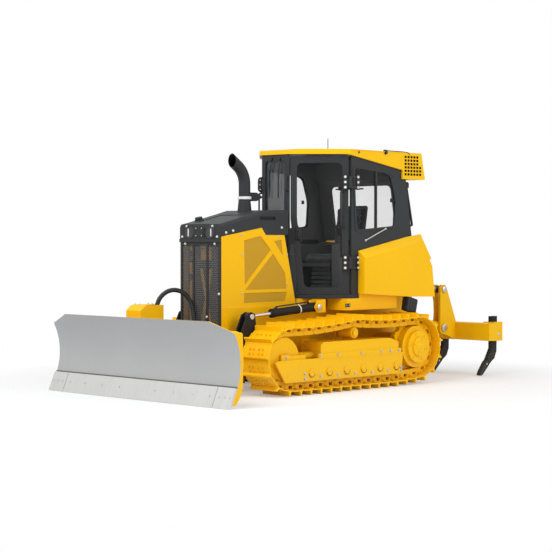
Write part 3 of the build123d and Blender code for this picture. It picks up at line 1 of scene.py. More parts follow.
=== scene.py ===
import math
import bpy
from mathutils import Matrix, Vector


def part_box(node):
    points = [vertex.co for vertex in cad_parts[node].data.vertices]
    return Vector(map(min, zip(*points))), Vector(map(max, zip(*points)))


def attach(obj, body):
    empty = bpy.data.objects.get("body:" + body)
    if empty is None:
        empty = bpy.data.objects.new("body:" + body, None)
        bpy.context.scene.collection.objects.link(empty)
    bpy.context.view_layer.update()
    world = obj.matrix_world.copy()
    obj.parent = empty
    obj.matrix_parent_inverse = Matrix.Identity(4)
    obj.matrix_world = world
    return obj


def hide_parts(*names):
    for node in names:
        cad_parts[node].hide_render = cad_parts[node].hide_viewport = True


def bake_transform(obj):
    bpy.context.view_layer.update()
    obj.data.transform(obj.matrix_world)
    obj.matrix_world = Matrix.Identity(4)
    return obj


bl_info = {
    "name": "Crawler bulldozer dressing",
    "version": (1, 0, 0),
    "blender": (4, 5, 0),
    "location": "View3D > Sidebar > Bulldozer",
    "description": "Paints a small crawler bulldozer and adds its track links, fittings, seat, "
                   "hose and stage",
    "category": "Object",
}

import bmesh
import bpy
from bpy.props import FloatProperty, FloatVectorProperty, IntProperty, PointerProperty
from mathutils import Matrix, Vector

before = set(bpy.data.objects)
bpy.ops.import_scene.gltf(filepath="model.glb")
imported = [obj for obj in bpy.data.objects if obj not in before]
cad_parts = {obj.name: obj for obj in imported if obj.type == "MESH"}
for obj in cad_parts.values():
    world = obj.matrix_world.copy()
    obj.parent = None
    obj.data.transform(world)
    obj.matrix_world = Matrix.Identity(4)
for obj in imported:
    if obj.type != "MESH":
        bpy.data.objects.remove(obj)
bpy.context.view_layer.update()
X, Y, Z = Vector((1, 0, 0)), Vector((0, 1, 0)), Vector((0, 0, 1))

# Places shared with the solids, in metres
TRACK_Y = 0.762
SHOE_WIDTH = 0.406
IDLER = (1.230, 0.389)
IDLER_PITCH_RADIUS = 0.286
SPROCKET = (-0.900, 0.428)
SPROCKET_PITCH_RADIUS = 0.297
HUB_Y = TRACK_Y + 0.185
CARRIER = (0.140, 0.735)
CHAIN_SAG = 0.022
PITCH_HEIGHT = 0.103
ROLLER_SPACING = 0.277
ROLLER_XS = [-0.520 + i * ROLLER_SPACING for i in range(6)]
ROLLER_CAP_Z = 0.228
GUARD_SIDE_Y = 0.912
RIM_Y = 0.920
PANEL_Y = 0.319
NOSE_X = 1.654
LAMP_Z = 1.735
HOOD_NOSE = (1.640, 1.826)
HOOD_COWL = (1.160, 1.936)
STACK_END = (1.0873, 2.4646)
ROOF_REAR = -1.247
HINGE_POST = (0.020, 0.690)
FRONT_POST = (0.500, 0.2196)
HINGE_HEIGHTS = (1.40, 2.30)
HINGE_BOLT_STEPS = (-0.058, 0, 0.058)
CAB_FLOOR = 1.045
LIFT_BASE = Vector((0.390, 0.500, 0.909))
LIFT_EYE = Vector((1.400, 0.500, 0.837))
RIPPER_BASE = Vector((-1.180, 0.290, 1.090))
RIPPER_EYE = Vector((-2.040, 0.290, 1.050))
RIPPER_PIVOT_Z = 0.580
SHANK_YS = (-0.75, 0.0, 0.75)
EDGE_OUT = (0.9124, 0, 0.4094)
ARM_PIN = (0.230, 0.548, 0.350)
ANGLE_BASE = (1.330, 0.380, 0.430)
ANGLE_EYE = (2.240, 0.395, 0.430)
HOSE_POINTS = [
    (1.718, -0.006, 0.520), (1.718, -0.006, 0.640), (1.708, -0.030, 0.790), (1.706, -0.055, 0.925),
    (1.732, -0.088, 1.035), (1.808, -0.130, 1.108), (1.905, -0.178, 1.122), (1.990, -0.220, 1.075),
    (2.046, -0.248, 0.985), (2.058, -0.256, 0.870),
]

# The photo's camera: its place, the way it looks and how far it dips in degrees
CAMERA_PLACE = (13.316, 12.855, 1.663)
CAMERA_HEADING = (-0.7062, -0.7080)
CAMERA_DIP = 1.31

# Finishes: scales of the paint's cloud and grain, the cloud's darkest and palest share, roughness and shine
# of both paints, the height that dust reaches, and how metallic bare metal is
CLOUD_SCALE = 1.7
GRAIN_SCALE = 38.0
CLOUD_RANGE = (0.93, 1.05)
YELLOW_ROUGH = 0.36
DARK_ROUGH = 0.50
PLAIN_SHINE = 0.15
DARK_SHINE = 0.22
DUST_TOP = 0.55
METALLIC = 0.92


# Sizes and colours that a user would change

def colour(name, text, value):
    return FloatVectorProperty(name=name, description=text, subtype="COLOR", size=3, min=0, max=1,
                               default=value)


def length(name, text, value):
    return FloatProperty(name=name, description=text, default=value, min=0.0001, unit="LENGTH", precision=4)


class PaintSettings(bpy.types.PropertyGroup):
    yellow: colour("Yellow", "Machine paint, as it looks on screen", (0.975, 0.752, 0.045))
    dark: colour("Dark grey", "Cab, hood and cylinder paint", (0.190, 0.196, 0.202))
    blade: colour("Blade grey", "Worn front of the blade", (0.672, 0.674, 0.674))
    amber: colour("Amber", "Screens in the engine side panels", (0.830, 0.640, 0.160))
    lining: colour("Cab lining", "Inner faces of the cab", (0.400, 0.405, 0.410))
    fabric: colour("Seat cloth", "Woven seat cover", (0.300, 0.304, 0.310))
    glass: colour("Glass tint", "Cab glazing", (0.150, 0.165, 0.165))


class TrackSettings(bpy.types.PropertyGroup):
    pitch: length("Shoe pitch", "Distance from pin to pin that the links are shared out to", 0.156)
    link_width: length("Link width", "Thickness of one link plate", 0.036)
    rail_spacing: length("Rail spacing", "Distance between the two link plates", 0.136)
    shoe_bolt: length("Shoe bolt", "Width across a shoe bolt's head", 0.022)


class FittingSettings(bpy.types.PropertyGroup):
    nose_bolt: length("Nose bolt", "Width across a bolt head on the nose or grille", 0.018)
    hinge_bolt: length("Hinge bolt", "Width across a bolt head on a door hinge", 0.019)
    small_bolt: length("Small bolt", "Width across a panel's small bolt head", 0.014)
    tiny_bolt: length("Tiny bolt", "Width across a bolt head on a name or tread plate", 0.010)
    mesh_pitch: length("Screen pitch", "Distance between holes of the front screen", 0.024)
    pipe: length("Pipe", "Radius of a hydraulic pipe", 0.008)
    rail: length("Grab rail", "Radius of a grab rail", 0.011)


class StageSettings(bpy.types.PropertyGroup):
    floor: colour("Floor", "Pale studio floor", (0.970, 0.970, 0.972))
    lens: FloatProperty(name="Lens", description="Focal length on a 36 mm sensor", default=105.04, min=10)
    softness: length("Lamp size", "Side of the soft key lamp", 7.0)
    seed: IntProperty(name="Seed", description="Fixed seed of the paint's unevenness", default=3, min=0)


def fitting():
    return bpy.context.scene.dozer_fitting


def linear(shown):
    """A colour as it looks on screen, in the linear values that shaders take."""
    return tuple(v / 12.92 if v <= 0.04045 else ((v + 0.055) / 1.055) ** 2.4 for v in shown) + (1.0,)


def scaled(tone, factor):
    return tuple(min(1.0, v * factor) for v in tone[:3]) + (1.0,)


# Shader helpers

class Value:
    """A socket that can stand in sums."""

    def __init__(self, tree, socket):
        self.tree = tree
        self.socket = socket

    def sum(self, operation, first, second=0.0):
        node = self.tree.nodes.new("ShaderNodeMath")
        node.operation = operation
        for slot, value in zip(node.inputs, (first, second)):
            if isinstance(value, Value):
                self.tree.links.new(value.socket, slot)
            else:
                slot.default_value = value
        return Value(self.tree, node.outputs[0])

    def __add__(self, other):
        return self.sum("ADD", self, other)

    def __radd__(self, other):
        return self.sum("ADD", other, self)

    def __sub__(self, other):
        return self.sum("SUBTRACT", self, other)

    def __rsub__(self, other):
        return self.sum("SUBTRACT", other, self)

    def __mul__(self, other):
        return self.sum("MULTIPLY", self, other)

    def __truediv__(self, other):
        return self.sum("DIVIDE", self, other)

    def __pow__(self, other):
        return self.sum("POWER", self, other)

    def __abs__(self):
        return self.sum("ABSOLUTE", self)

    def __gt__(self, other):
        return self.sum("GREATER_THAN", self, other)

    def __lt__(self, other):
        return self.sum("LESS_THAN", self, other)

    def least(self, other):
        return self.sum("MINIMUM", self, other)

    def most(self, other):
        return self.sum("MAXIMUM", self, other)

    def wave(self, count):
        """Rises and falls between 0 and 1, so many times in a metre."""
        return abs(self.sum("FRACT", self * count) - 0.5) * 2.0


class Finish:
    """A material on Object coordinates with one principled shader."""

    def __init__(self, name):
        self.material = bpy.data.materials.new(name)
        self.material.use_nodes = True
        self.tree = self.material.node_tree
        self.tree.nodes.clear()
        self.end = self.tree.nodes.new("ShaderNodeOutputMaterial")
        self.shader = self.tree.nodes.new("ShaderNodeBsdfPrincipled")
        self.tree.links.new(self.shader.outputs[0], self.end.inputs[0])
        self.place = self.node("ShaderNodeTexCoord", output="Object")
        split = self.tree.nodes.new("ShaderNodeSeparateXYZ")
        self.tree.links.new(self.place.socket, split.inputs[0])
        self.x, self.y, self.z = (Value(self.tree, socket) for socket in split.outputs)

    def node(self, kind, values=(), output=0, **settings):
        made = self.tree.nodes.new(kind)
        for key, value in settings.items():
            setattr(made, key, value)
        for key, value in dict(values).items():
            if isinstance(value, Value):
                self.tree.links.new(value.socket, made.inputs[key])
            else:
                made.inputs[key].default_value = value
        return Value(self.tree, made.outputs[output])

    def noise(self, scale, detail=3.0, roughness=0.55):
        seed = float(bpy.context.scene.dozer_stage.seed)
        values = {"Vector": self.place, "W": seed, "Scale": scale, "Detail": detail, "Roughness": roughness}
        return self.node("ShaderNodeTexNoise", values, "Fac", noise_dimensions="4D")

    def blend(self, share, first, second):
        return self.node("ShaderNodeMix", {0: share, 6: first, 7: second}, 2, data_type="RGBA")

    def varied(self, share, tone, low, high):
        """A tone that goes from one brightness to another."""
        return self.blend(share, scaled(tone, low), scaled(tone, high))

    def coat(self, base, rough, **values):
        """Sets the colour, the roughness and any other plain values."""
        self.link("Base Color", base)
        self.link("Roughness", rough)
        for name, value in values.items():
            self.set(name.replace("_", " "), value)

    def bump(self, height, depth, strength):
        values = {"Strength": strength, "Distance": depth, "Height": height}
        self.link("Normal", self.node("ShaderNodeBump", values))

    def link(self, name, value):
        self.tree.links.new(value.socket, self.shader.inputs[name])

    def set(self, name, value):
        self.shader.inputs[name].default_value = value


def paint(name, tone, rough, layers=(), shine=PLAIN_SHINE):
    """Sprayed paint: cloudy tone, orange peel, a little dust low down; masked layers bring other colours."""
    finish = Finish(name)
    cloud = finish.noise(CLOUD_SCALE)
    grain = finish.noise(GRAIN_SCALE, 4.0)
    base = finish.varied(cloud, tone, *CLOUD_RANGE)
    for mask, other in layers:
        base = finish.blend(mask(finish), base, finish.varied(cloud, other, *CLOUD_RANGE))
    dust = ((DUST_TOP - finish.z) * 0.9).most(0.0) * ((grain - 0.42) * 2.0).most(0.0)
    base = finish.blend(dust.least(0.22), base, linear((0.66, 0.60, 0.50)))
    finish.coat(base, rough + (grain - 0.5) * 0.16 + dust * 0.4, Specular_IOR_Level=shine)
    finish.bump(finish.noise(240.0, 2.0), 0.0006, 0.35)
    return finish.material


def metal(name, tone, rough, scratch, mask=None, painted=None):
    """Bare metal with fine rubbing marks; a mask may set painted ends apart."""
    finish = Finish(name)
    marks = finish.noise(scratch, 6.0, 0.7)
    base = finish.varied(marks, tone, 0.82, 1.08)
    rough = rough + (marks - 0.5) * 0.3
    finish.set("Metallic", METALLIC)
    if mask:
        share = mask(finish)
        base = finish.blend(share, base, painted)
        rough = rough + share * 0.35
        finish.link("Metallic", METALLIC - share * METALLIC)
    finish.coat(base, rough)
    finish.bump(marks, 0.0004, 0.3)
    return finish.material


def worn_steel(name, tone):
    """Ground steel of the cutting edge: pale, with upright rubbing streaks."""
    finish = Finish(name)
    place = finish.node("ShaderNodeCombineXYZ", {0: finish.x * 3.0, 1: finish.y * 60.0, 2: finish.z * 4.0})
    streaks = finish.node("ShaderNodeTexNoise", {"Vector": place, "Scale": 1.0, "Detail": 5.0}, "Fac")
    finish.coat(finish.varied(streaks, tone, 0.84, 1.06), 0.34 + streaks * 0.25, Metallic=0.45)
    finish.bump(streaks, 0.0008, 0.4)
    return finish.material


def rubber(name, tone, rough, scale):
    """Moulded rubber or plastic with a fine even grain."""
    finish = Finish(name)
    grain = finish.noise(scale)
    finish.coat(finish.varied(finish.noise(9.0), tone, 0.8, 1.15), rough + (grain - 0.5) * 0.2)
    finish.bump(grain, 0.0008, 0.5)
    return finish.material


def cloth(name, tone):
    """Woven seat cloth: crossing threads, with a darker fleck."""
    finish = Finish(name)
    threads = 260.0
    weave = finish.y.wave(threads).most((finish.x + finish.z).wave(threads))
    fleck = finish.noise(300.0, 2.0)
    base = finish.varied(weave * 0.5 + fleck * 0.5, tone, 0.6, 1.45)
    finish.coat(base, 0.86 + fleck * 0.1, Sheen_Weight=0.25)
    finish.bump(weave, 0.0012, 0.6)
    return finish.material


def clear_glass(name, tone):
    """Flat cab glass: a thin dark tint, paler and denser in the front panes, its gloss a little uneven."""
    finish = Finish(name)
    wave = finish.noise(2.5)
    # The front panes are paler and denser: a painted reflection.
    front = (finish.x > 0.46) * (finish.z > 1.4)
    finish.coat(finish.blend(front, tone, scaled(tone, 2.6)), 0.03 + wave * 0.04, IOR=1.5)
    finish.link("Alpha", 0.06 + wave * 0.04 + front * (0.58 + wave * 0.1))
    return finish.material


def lamp_lens(name):
    """A dark lamp behind clear glass, with an upright bright reflector and fine ribs."""
    finish = Finish(name)
    ribs = finish.z.wave(160.0)
    # An upright bright stripe by each lamp is a painted highlight of its reflector.
    bright = (abs(abs(finish.y) - 0.180) < 0.010) * (abs(finish.z - LAMP_Z) < 0.040)
    dark = finish.blend(ribs, linear((0.075, 0.078, 0.082)), linear((0.12, 0.122, 0.126)))
    finish.coat(finish.blend(bright, dark, linear((0.80, 0.81, 0.82))), 0.08 + ribs * 0.08, Coat_Weight=0.4)
    finish.bump(ribs, 0.0012, 0.5)
    return finish.material


def side_panel_paint(name, yellow, amber):
    """Yellow sheet whose recessed fields are an amber screen with fine holes."""
    finish = Finish(name)
    depth = abs(finish.y)
    field = (depth < 0.3165) * (depth > 0.3105)
    hole = holes(finish.x, finish.z, 0.0065, 0.0019) * field
    base = finish.varied(finish.noise(CLOUD_SCALE), yellow, *CLOUD_RANGE)
    base = finish.blend(field, base, amber)
    # The holes are darkened as painted shade seen through the screen.
    base = finish.blend(hole * 0.45, base, linear((0.42, 0.30, 0.10)))
    rough = YELLOW_ROUGH + field * 0.2 + (finish.noise(GRAIN_SCALE) - 0.5) * 0.12
    finish.coat(base, rough, Specular_IOR_Level=PLAIN_SHINE)
    finish.bump(1.0 - hole, 0.0012, 0.5)
    return finish.material


# Masks, 1 where a part of a solid has its own colour or painted shade

def holes(first, second, pitch, radius):
    """Inside round holes set in staggered rows."""
    rows = 3 ** 0.5
    nearest = None
    for shift in (0.0, 0.5):
        place = first / pitch + shift
        across = place.sum("FRACT", place) - 0.5
        place = second / (pitch * rows) + shift
        down = (place.sum("FRACT", place) - 0.5) * rows
        distance = across * across + down * down
        nearest = distance if nearest is None else nearest.least(distance)
    return nearest < (radius / pitch) ** 2


def near(finish, x, z, radius):
    """Within a radius of a line across the machine."""
    return (finish.x - x) ** 2.0 + (finish.z - z) ** 2.0 < radius ** 2


def within(x=(None, None), side=(None, None), z=(None, None)):
    """A mask between limits along the machine, out from its middle plane and up."""

    def mask(finish):
        share = None
        for place, (low, high) in ((finish.x, x), (abs(finish.y), side), (finish.z, z)):
            steps = [place > low] if low is not None else []
            steps += [place < high] if high is not None else []
            for step in steps:
                share = step if share is None else share * step
        return share

    return mask


# The roof's side pockets are painted a dark brownish yellow as painted shade inside them.
ROOF_POCKET_SHADE = within(x=(ROOF_REAR + 0.06, -0.87), side=(0.690, 0.7245), z=(2.397, 2.648))
CEILING = within(x=(-0.8985, None), side=(None, 0.672), z=(None, 2.6125))
AERIAL = within(z=(2.675, None))
TANK_INNER = within(x=(-1.0145, None), side=(None, 0.6895), z=(1.05, None))
# The hood's slots are painted near black as painted shade in the recesses.
HOOD_SLOT_SHADE = within(x=(0.824, 1.061), side=(0.15, None), z=(1.873, 1.910))
LIFT_EARS = within(x=(1.32, 1.56), side=(0.40, None), z=(0.412, None))


def shaded_bore(finish):
    """Where the exhaust pipe's bore is, up to its mouth."""
    off = (finish.z - STACK_END[1]) * 0.8192 - (finish.x - STACK_END[0]) * 0.5736
    return (off * off + finish.y * finish.y < 0.0585 ** 2) * (finish.x > 1.06)


def cab_inner(finish):
    """Where the cab's walls, doors and floor face the inside."""
    side = abs(finish.y)
    door = (finish.x - HINGE_POST[0]) * 0.6999 + (side - HINGE_POST[1]) * 0.7142
    rear = finish.x + 1.045 - (finish.z - 1.645).most(0.0) * 0.1657
    walls = (side < 0.6735) * (door < -0.0440) * (rear > 0.0285)
    return walls * (finish.x < 0.4855) * (finish.z > 1.0446)


def rod_eyes(finish):
    """Where the lift and ripper rods end in painted eyes."""
    lift = near(finish, LIFT_EYE.x, LIFT_EYE.z, 0.075)
    return lift.most(near(finish, RIPPER_EYE.x, RIPPER_EYE.z, 0.085))


def core_yellow(finish):
    """Yellow struts and guards that show in front of the radiator's dark core."""
    lean = (finish.z - 1.02) * 0.24
    struts = (abs(finish.y + lean) < 0.022).most(abs(finish.y - lean) < 0.022)
    top = (finish.z > 1.44) * (abs(finish.y) < 0.085)
    edges = abs(abs(finish.y) - 0.235) < 0.030
    patchy = finish.noise(7.0) > 0.47
    return (struts * (finish.z > 0.7) * (finish.z < 1.34)).most(top).most(edges * patchy)


def blade_front(finish):
    """Where the blade's hollow face is: near the axis that its curve is drawn about."""
    return near(finish, 3.07, 0.43, 0.6408)


FINISHES = {}


def finishes():
    """Every finish by its key, with the slot that it stands for, made once."""
    if FINISHES:
        return FINISHES
    tones = bpy.context.scene.dozer_paint
    yellow, dark, lining = linear(tones.yellow), linear(tones.dark), linear(tones.lining)
    # The roof pockets' brownish tone is painted shade; the ceiling lining and the aerial are their own
    # colours.
    roof = [(ROOF_POCKET_SHADE, linear((0.36, 0.31, 0.18))), (CEILING, lining), (AERIAL, scaled(dark, 0.5))]
    for key, slot, layers, label in (
        ("yellow", "yellow_paint", (), "machine yellow"),
        ("tank", "yellow_paint", [(TANK_INNER, lining)], "tank yellow, dark inside the cab"),
        ("roof", "yellow_paint", roof, "roof yellow with dark intake"),
    ):
        FINISHES[key] = (slot, paint(label, yellow, YELLOW_ROUGH, layers))
    for key, layers, label in (
        ("dark", (), "dark grey paint"),
        ("hood", [(HOOD_SLOT_SHADE, scaled(dark, 0.15))], "hood grey with dark slots"),
        ("cab", [(cab_inner, lining)], "cab grey with paler lining"),
    ):
        FINISHES[key] = ("dark_paint", paint(label, dark, DARK_ROUGH, layers, DARK_SHINE))
    # The pipe's bore is painted near black as painted shade inside it.
    bore_shade = [(shaded_bore, scaled(dark, 0.08))]
    struts = [(core_yellow, scaled(yellow, 0.7))]
    face = [(blade_front, linear(tones.blade))]
    ears = [(LIFT_EARS, scaled(dark, 0.55))]
    eyes = (rod_eyes, scaled(dark, 0.5))
    screen, bright = linear((0.42, 0.425, 0.43)), linear((0.90, 0.90, 0.89))
    chrome, zinc, edge = linear((0.88, 0.88, 0.90)), linear((0.80, 0.80, 0.78)), linear((0.80, 0.80, 0.79))
    black, hose = linear((0.095, 0.097, 0.10)), linear((0.085, 0.085, 0.09))
    trim = linear((0.330, 0.334, 0.340))
    FINISHES.update({
        "inside": ("dark_paint", paint("dark inner paint", scaled(dark, 0.55), 0.60)),
        "screen": ("dark_paint", paint("grey screen wire", screen, 0.5, shine=0.3)),
        "stack": ("dark_paint", paint("exhaust paint with sooty bore", dark, 0.55, bore_shade, 0.2)),
        "core": ("dark_paint", paint("radiator core behind struts", scaled(dark, 0.5), 0.6, struts)),
        "bright": ("rod_chrome", paint("white painted bands and bolts", bright, 0.35)),
        "blade": ("blade_grey", paint("blade grey over yellow", yellow, 0.40, face)),
        "arms": ("yellow_paint", paint("yellow arms with dark ears", yellow, 0.38, ears)),
        "panels": ("yellow_paint", side_panel_paint("side panel screens", yellow, linear(tones.amber))),
        "edge": ("blade_steel", worn_steel("cutting edge steel", edge)),
        "chrome": ("rod_chrome", metal("rod chrome", chrome, 0.16, 90.0, *eyes)),
        "zinc": ("rod_chrome", metal("zinc plated bolts", zinc, 0.38, 160.0)),
        "black": ("trim_plastic", rubber("black plastic", black, 0.55, 420.0)),
        "hose": ("hose_rubber", rubber("hose rubber", hose, 0.62, 260.0)),
        "trim": ("trim_plastic", rubber("console plastic", trim, 0.6, 380.0)),
        "cloth": ("seat_fabric", cloth("seat cloth", linear(tones.fabric))),
        "glass": ("glass", clear_glass("cab glass", linear(tones.glass))),
        "lens": ("lens", lamp_lens("lamp lens")),
    })
    return FINISHES


# Mesh helpers

def evaluated_mesh(obj):
    """A plain mesh of an object with its modifiers or curve bevel worked in."""
    graph = bpy.context.evaluated_depsgraph_get()
    graph.update()
    return bpy.data.meshes.new_from_object(obj.evaluated_get(graph), depsgraph=graph)


def temporary(name, data):
    obj = bpy.data.objects.new(name, data)
    bpy.context.scene.collection.objects.link(obj)
    return obj


def drop(obj):
    data = obj.data
    bpy.data.objects.remove(obj)
    if data.users == 0:
        store = bpy.data.curves if isinstance(data, bpy.types.Curve) else bpy.data.meshes
        store.remove(data)


def plane(origin, across, up):
    """A frame whose first two axes lie in a plate and whose third is its normal."""
    across, up = Vector(across).normalized(), Vector(up).normalized()
    matrix = Matrix((across, up, across.cross(up))).transposed().to_4x4()
    matrix.translation = Vector(origin)
    return matrix


def facing(direction):
    """A frame at the origin whose third axis points along a direction."""
    return Vector(direction).to_track_quat("Z", "Y").to_matrix().to_4x4()


def circle(middle, radius, sides, start=0.0, sweep=360.0):
    """Points on a circle or arc."""
    count = sides if sweep == 360.0 else sides + 1
    angles = [math.radians(start + sweep * i / sides) for i in range(count)]
    return [(middle[0] + radius * math.cos(a), middle[1] + radius * math.sin(a)) for a in angles]


def rectangle(low_u, low_v, high_u, high_v):
    return [(low_u, low_v), (high_u, low_v), (high_u, high_v), (low_u, high_v)]


def bend_points(before, here, after, reach, steps):
    """Points on a smooth bend at a corner, from a reach before it to a reach after it."""
    start = here + (before - here).normalized() * reach
    end = here + (after - here).normalized() * reach
    shares = [step / steps for step in range(steps + 1)]
    return [start * (1 - t) ** 2 + here * 2 * t * (1 - t) + end * t ** 2 for t in shares]


def rounded(points, bend):
    """A route with its corners rounded for a bent rail."""
    points = [Vector(p) for p in points]
    route = [points[0]]
    for before, here, after in zip(points, points[1:], points[2:]):
        reach = min(bend, (before - here).length * 0.45, (after - here).length * 0.45)
        route += bend_points(before, here, after, reach, 5)
    return route + [points[-1]]


def soft_corners(points, reach):
    """A closed outline with rounded corners."""
    points = [Vector(p) for p in points]
    made = []
    for i, here in enumerate(points):
        made += bend_points(points[i - 1], here, points[(i + 1) % len(points)], reach, 4)
    return made


def add_spline(curve, kind, points):
    """Adds one spline through points to a curve."""
    spline = curve.splines.new(kind)
    spline.points.add(len(points) - 1)
    for point, place in zip(spline.points, points):
        point.co = (*Vector(place).to_3d(), 1)
    return spline


def bridge(part, rings):
    """Closes the walls between rings of as many points; a ring of one point closes to a tip."""
    for lower, upper in zip(rings, rings[1:]):
        count = max(len(lower), len(upper))
        for i in range(count):
            j = (i + 1) % count
            turns = ((lower, i), (lower, j), (upper, j), (upper, i))
            corners = [ring[k % len(ring)] for ring, k in turns]
            unique = list(dict.fromkeys(corners))
            if len(unique) > 2:
                part.faces.new(unique)


class Stock:
    """A piece being built up from plates, boxes, rods, turned rings and tubes."""

    def __init__(self):
        self.mesh = bmesh.new()

    def add(self, part):
        carrier = bpy.data.meshes.new("carrier")
        part.to_mesh(carrier)
        part.free()
        self.mesh.from_mesh(carrier)
        bpy.data.meshes.remove(carrier)
        return self

    def take(self, part, matrix=None):
        """Adds a finished part, cleaned, with its faces turned outwards."""
        bmesh.ops.remove_doubles(part, verts=part.verts, dist=1e-5)
        bmesh.ops.recalc_face_normals(part, faces=part.faces)
        if matrix:
            bmesh.ops.transform(part, matrix=matrix, verts=part.verts)
        return self.add(part)

    def take_curve(self, curve, matrix=None):
        """Adds the surface that a curve's bevel gives."""
        obj = temporary(curve.name, curve)
        surface = evaluated_mesh(obj)
        part = bmesh.new()
        part.from_mesh(surface)
        bpy.data.meshes.remove(surface)
        drop(obj)
        return self.take(part, matrix)

    def box(self, low, high, bevel=0.003, matrix=None):
        part = bmesh.new()
        bmesh.ops.create_cube(part, size=1.0)
        low, high = Vector(low), Vector(high)
        for vert in part.verts:
            vert.co = Vector([low[i] + (vert.co[i] + 0.5) * (high[i] - low[i]) for i in range(3)])
        bmesh.ops.bevel(part, geom=part.edges[:], offset=bevel, segments=2, affect="EDGES",
                        clamp_overlap=True)
        return self.take(part, matrix)

    def plate(self, outline, thickness, matrix, cuts=(), bevel=0.002):
        """A flat plate from an outline with cut-outs, its rims eased."""
        curve = bpy.data.curves.new("outline", "CURVE")
        curve.dimensions = "2D"
        curve.fill_mode = "BOTH"
        for ring in (outline, *cuts):
            add_spline(curve, "POLY", ring).use_cyclic_u = True
        curve.extrude = thickness / 2 - bevel
        curve.bevel_depth = bevel
        curve.bevel_resolution = 0
        curve.offset = -bevel
        return self.take_curve(curve, matrix)

    def tube(self, points, radius, bend=0.0, detail=3):
        """A round rail through points, its corners bent as a pipe's are."""
        curve = bpy.data.curves.new("rail", "CURVE")
        curve.dimensions = "3D"
        curve.bevel_depth = radius
        curve.bevel_resolution = detail
        curve.use_fill_caps = True
        add_spline(curve, "POLY", rounded(points, bend) if bend else points)
        return self.take_curve(curve)

    def swept(self, profile, line):
        """A rim along a line in X and Z: its profile across and above the line, fading out at the end."""
        part = bmesh.new()
        points = [Vector((x, 0, z)) for x, z in line]
        ups = [Y.cross((b - a).normalized()) for a, b in zip(points, points[1:])]
        rings = []
        for i, here in enumerate(points):
            before, after = ups[max(i - 1, 0)], ups[min(i, len(ups) - 1)]
            up = (before + after) / (1 + before.dot(after))
            fade = 0.0 if i == len(points) - 1 else 1.0
            rings.append([part.verts.new(here - Y * u + up * (v * fade if v > 0 else v)) for u, v in profile])
        bridge(part, rings)
        part.faces.new(rings[0])
        part.faces.new(list(reversed(rings[-1])))
        return self.take(part)

    def turned(self, profile, origin, axis, sides=24):
        """A form turned about an axis from radius and height pairs; ends at radius 0 close on the axis."""
        part = bmesh.new()
        rings = []
        for radius, height in profile:
            ring = circle((0, 0), radius, sides) if radius > 1e-6 else [(0, 0)]
            rings.append([part.verts.new((u, v, height)) for u, v in ring])
        bridge(part, rings)
        return self.take(part, Matrix.Translation(Vector(origin)) @ facing(axis))

    def disc(self, origin, axis, radius, height, ease=0.003, sides=24, inset=None):
        """A short turned boss; its rim is eased by as much inwards as down, or by an inset of its own."""
        rim = radius - (ease if inset is None else inset)
        profile = [(0, 0), (radius, 0), (radius, height - ease), (rim, height), (0, height)]
        return self.turned(profile, origin, axis, sides)

    def band(self, origin, axis, inner, outer, height, sides=32):
        """A ring round a pipe."""
        ease = (outer - inner) * 0.25
        profile = [(inner, 0), (outer - ease, 0), (outer, ease), (outer, height - ease),
                   (outer - ease, height), (inner, height), (inner, 0)]
        return self.turned(profile, origin, axis, sides)

    def mirror(self):
        """Adds the mirror image across the machine's middle plane."""
        part = self.mesh.copy()
        bmesh.ops.transform(part, matrix=Matrix.Diagonal((1, -1, 1, 1)), verts=part.verts)
        bmesh.ops.reverse_faces(part, faces=part.faces)
        return self.add(part)

    def plain(self, name):
        """The mesh alone, with soft shading broken at sharp edges."""
        for edge in self.mesh.edges:
            edge.smooth = edge.calc_face_angle(0.0) < math.radians(38)
        for face in self.mesh.faces:
            face.smooth = True
        mesh = bpy.data.meshes.new(name)
        self.mesh.to_mesh(mesh)
        self.mesh.free()
        return mesh

    def done(self, name, finish, body, both=False):
        """The finished piece, on both sides of the machine if asked, riding on its body."""
        if both:
            self.mirror()
        return ridden(temporary(name, self.plain(name)), finish, body)


def coated(obj, finish):
    """Gives a piece its finish and the slot of that finish."""
    slot, material = finishes()[finish]
    obj.data.materials.clear()
    obj.data.materials.append(material)
    return obj


def ridden(obj, finish, body):
    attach(coated(obj, finish), body)
    return obj


# Geometry node trees for what repeats

TREES = {}


def new_tree(name, inputs):
    tree = bpy.data.node_groups.new(name, "GeometryNodeTree")
    tree.interface.new_socket(name="Geometry", in_out="OUTPUT", socket_type="NodeSocketGeometry")
    keys = {}
    for label, kind in inputs.items():
        kind = "NodeSocket" + kind
        keys[label] = tree.interface.new_socket(name=label, in_out="INPUT", socket_type=kind).identifier
    return tree, keys, tree.nodes.new("NodeGroupInput").outputs


def end_tree(tree, entry, shape):
    """Puts a shape on every point by its turn, makes it real and gives it its material."""
    link = tree.links.new
    turn = tree.nodes.new("GeometryNodeInputNamedAttribute")
    turn.data_type = "FLOAT_VECTOR"
    turn.inputs["Name"].default_value = "turn"
    rotation = tree.nodes.new("FunctionNodeEulerToRotation")
    link(turn.outputs[0], rotation.inputs[0])
    on_points = tree.nodes.new("GeometryNodeInstanceOnPoints")
    link(entry["Geometry"], on_points.inputs["Points"])
    link(shape, on_points.inputs["Instance"])
    link(rotation.outputs[0], on_points.inputs["Rotation"])
    real = tree.nodes.new("GeometryNodeRealizeInstances")
    link(on_points.outputs[0], real.inputs[0])
    coat = tree.nodes.new("GeometryNodeSetMaterial")
    link(real.outputs[0], coat.inputs["Geometry"])
    link(entry["Material"], coat.inputs["Material"])
    end = tree.nodes.new("NodeGroupOutput")
    link(coat.outputs[0], end.inputs[0])


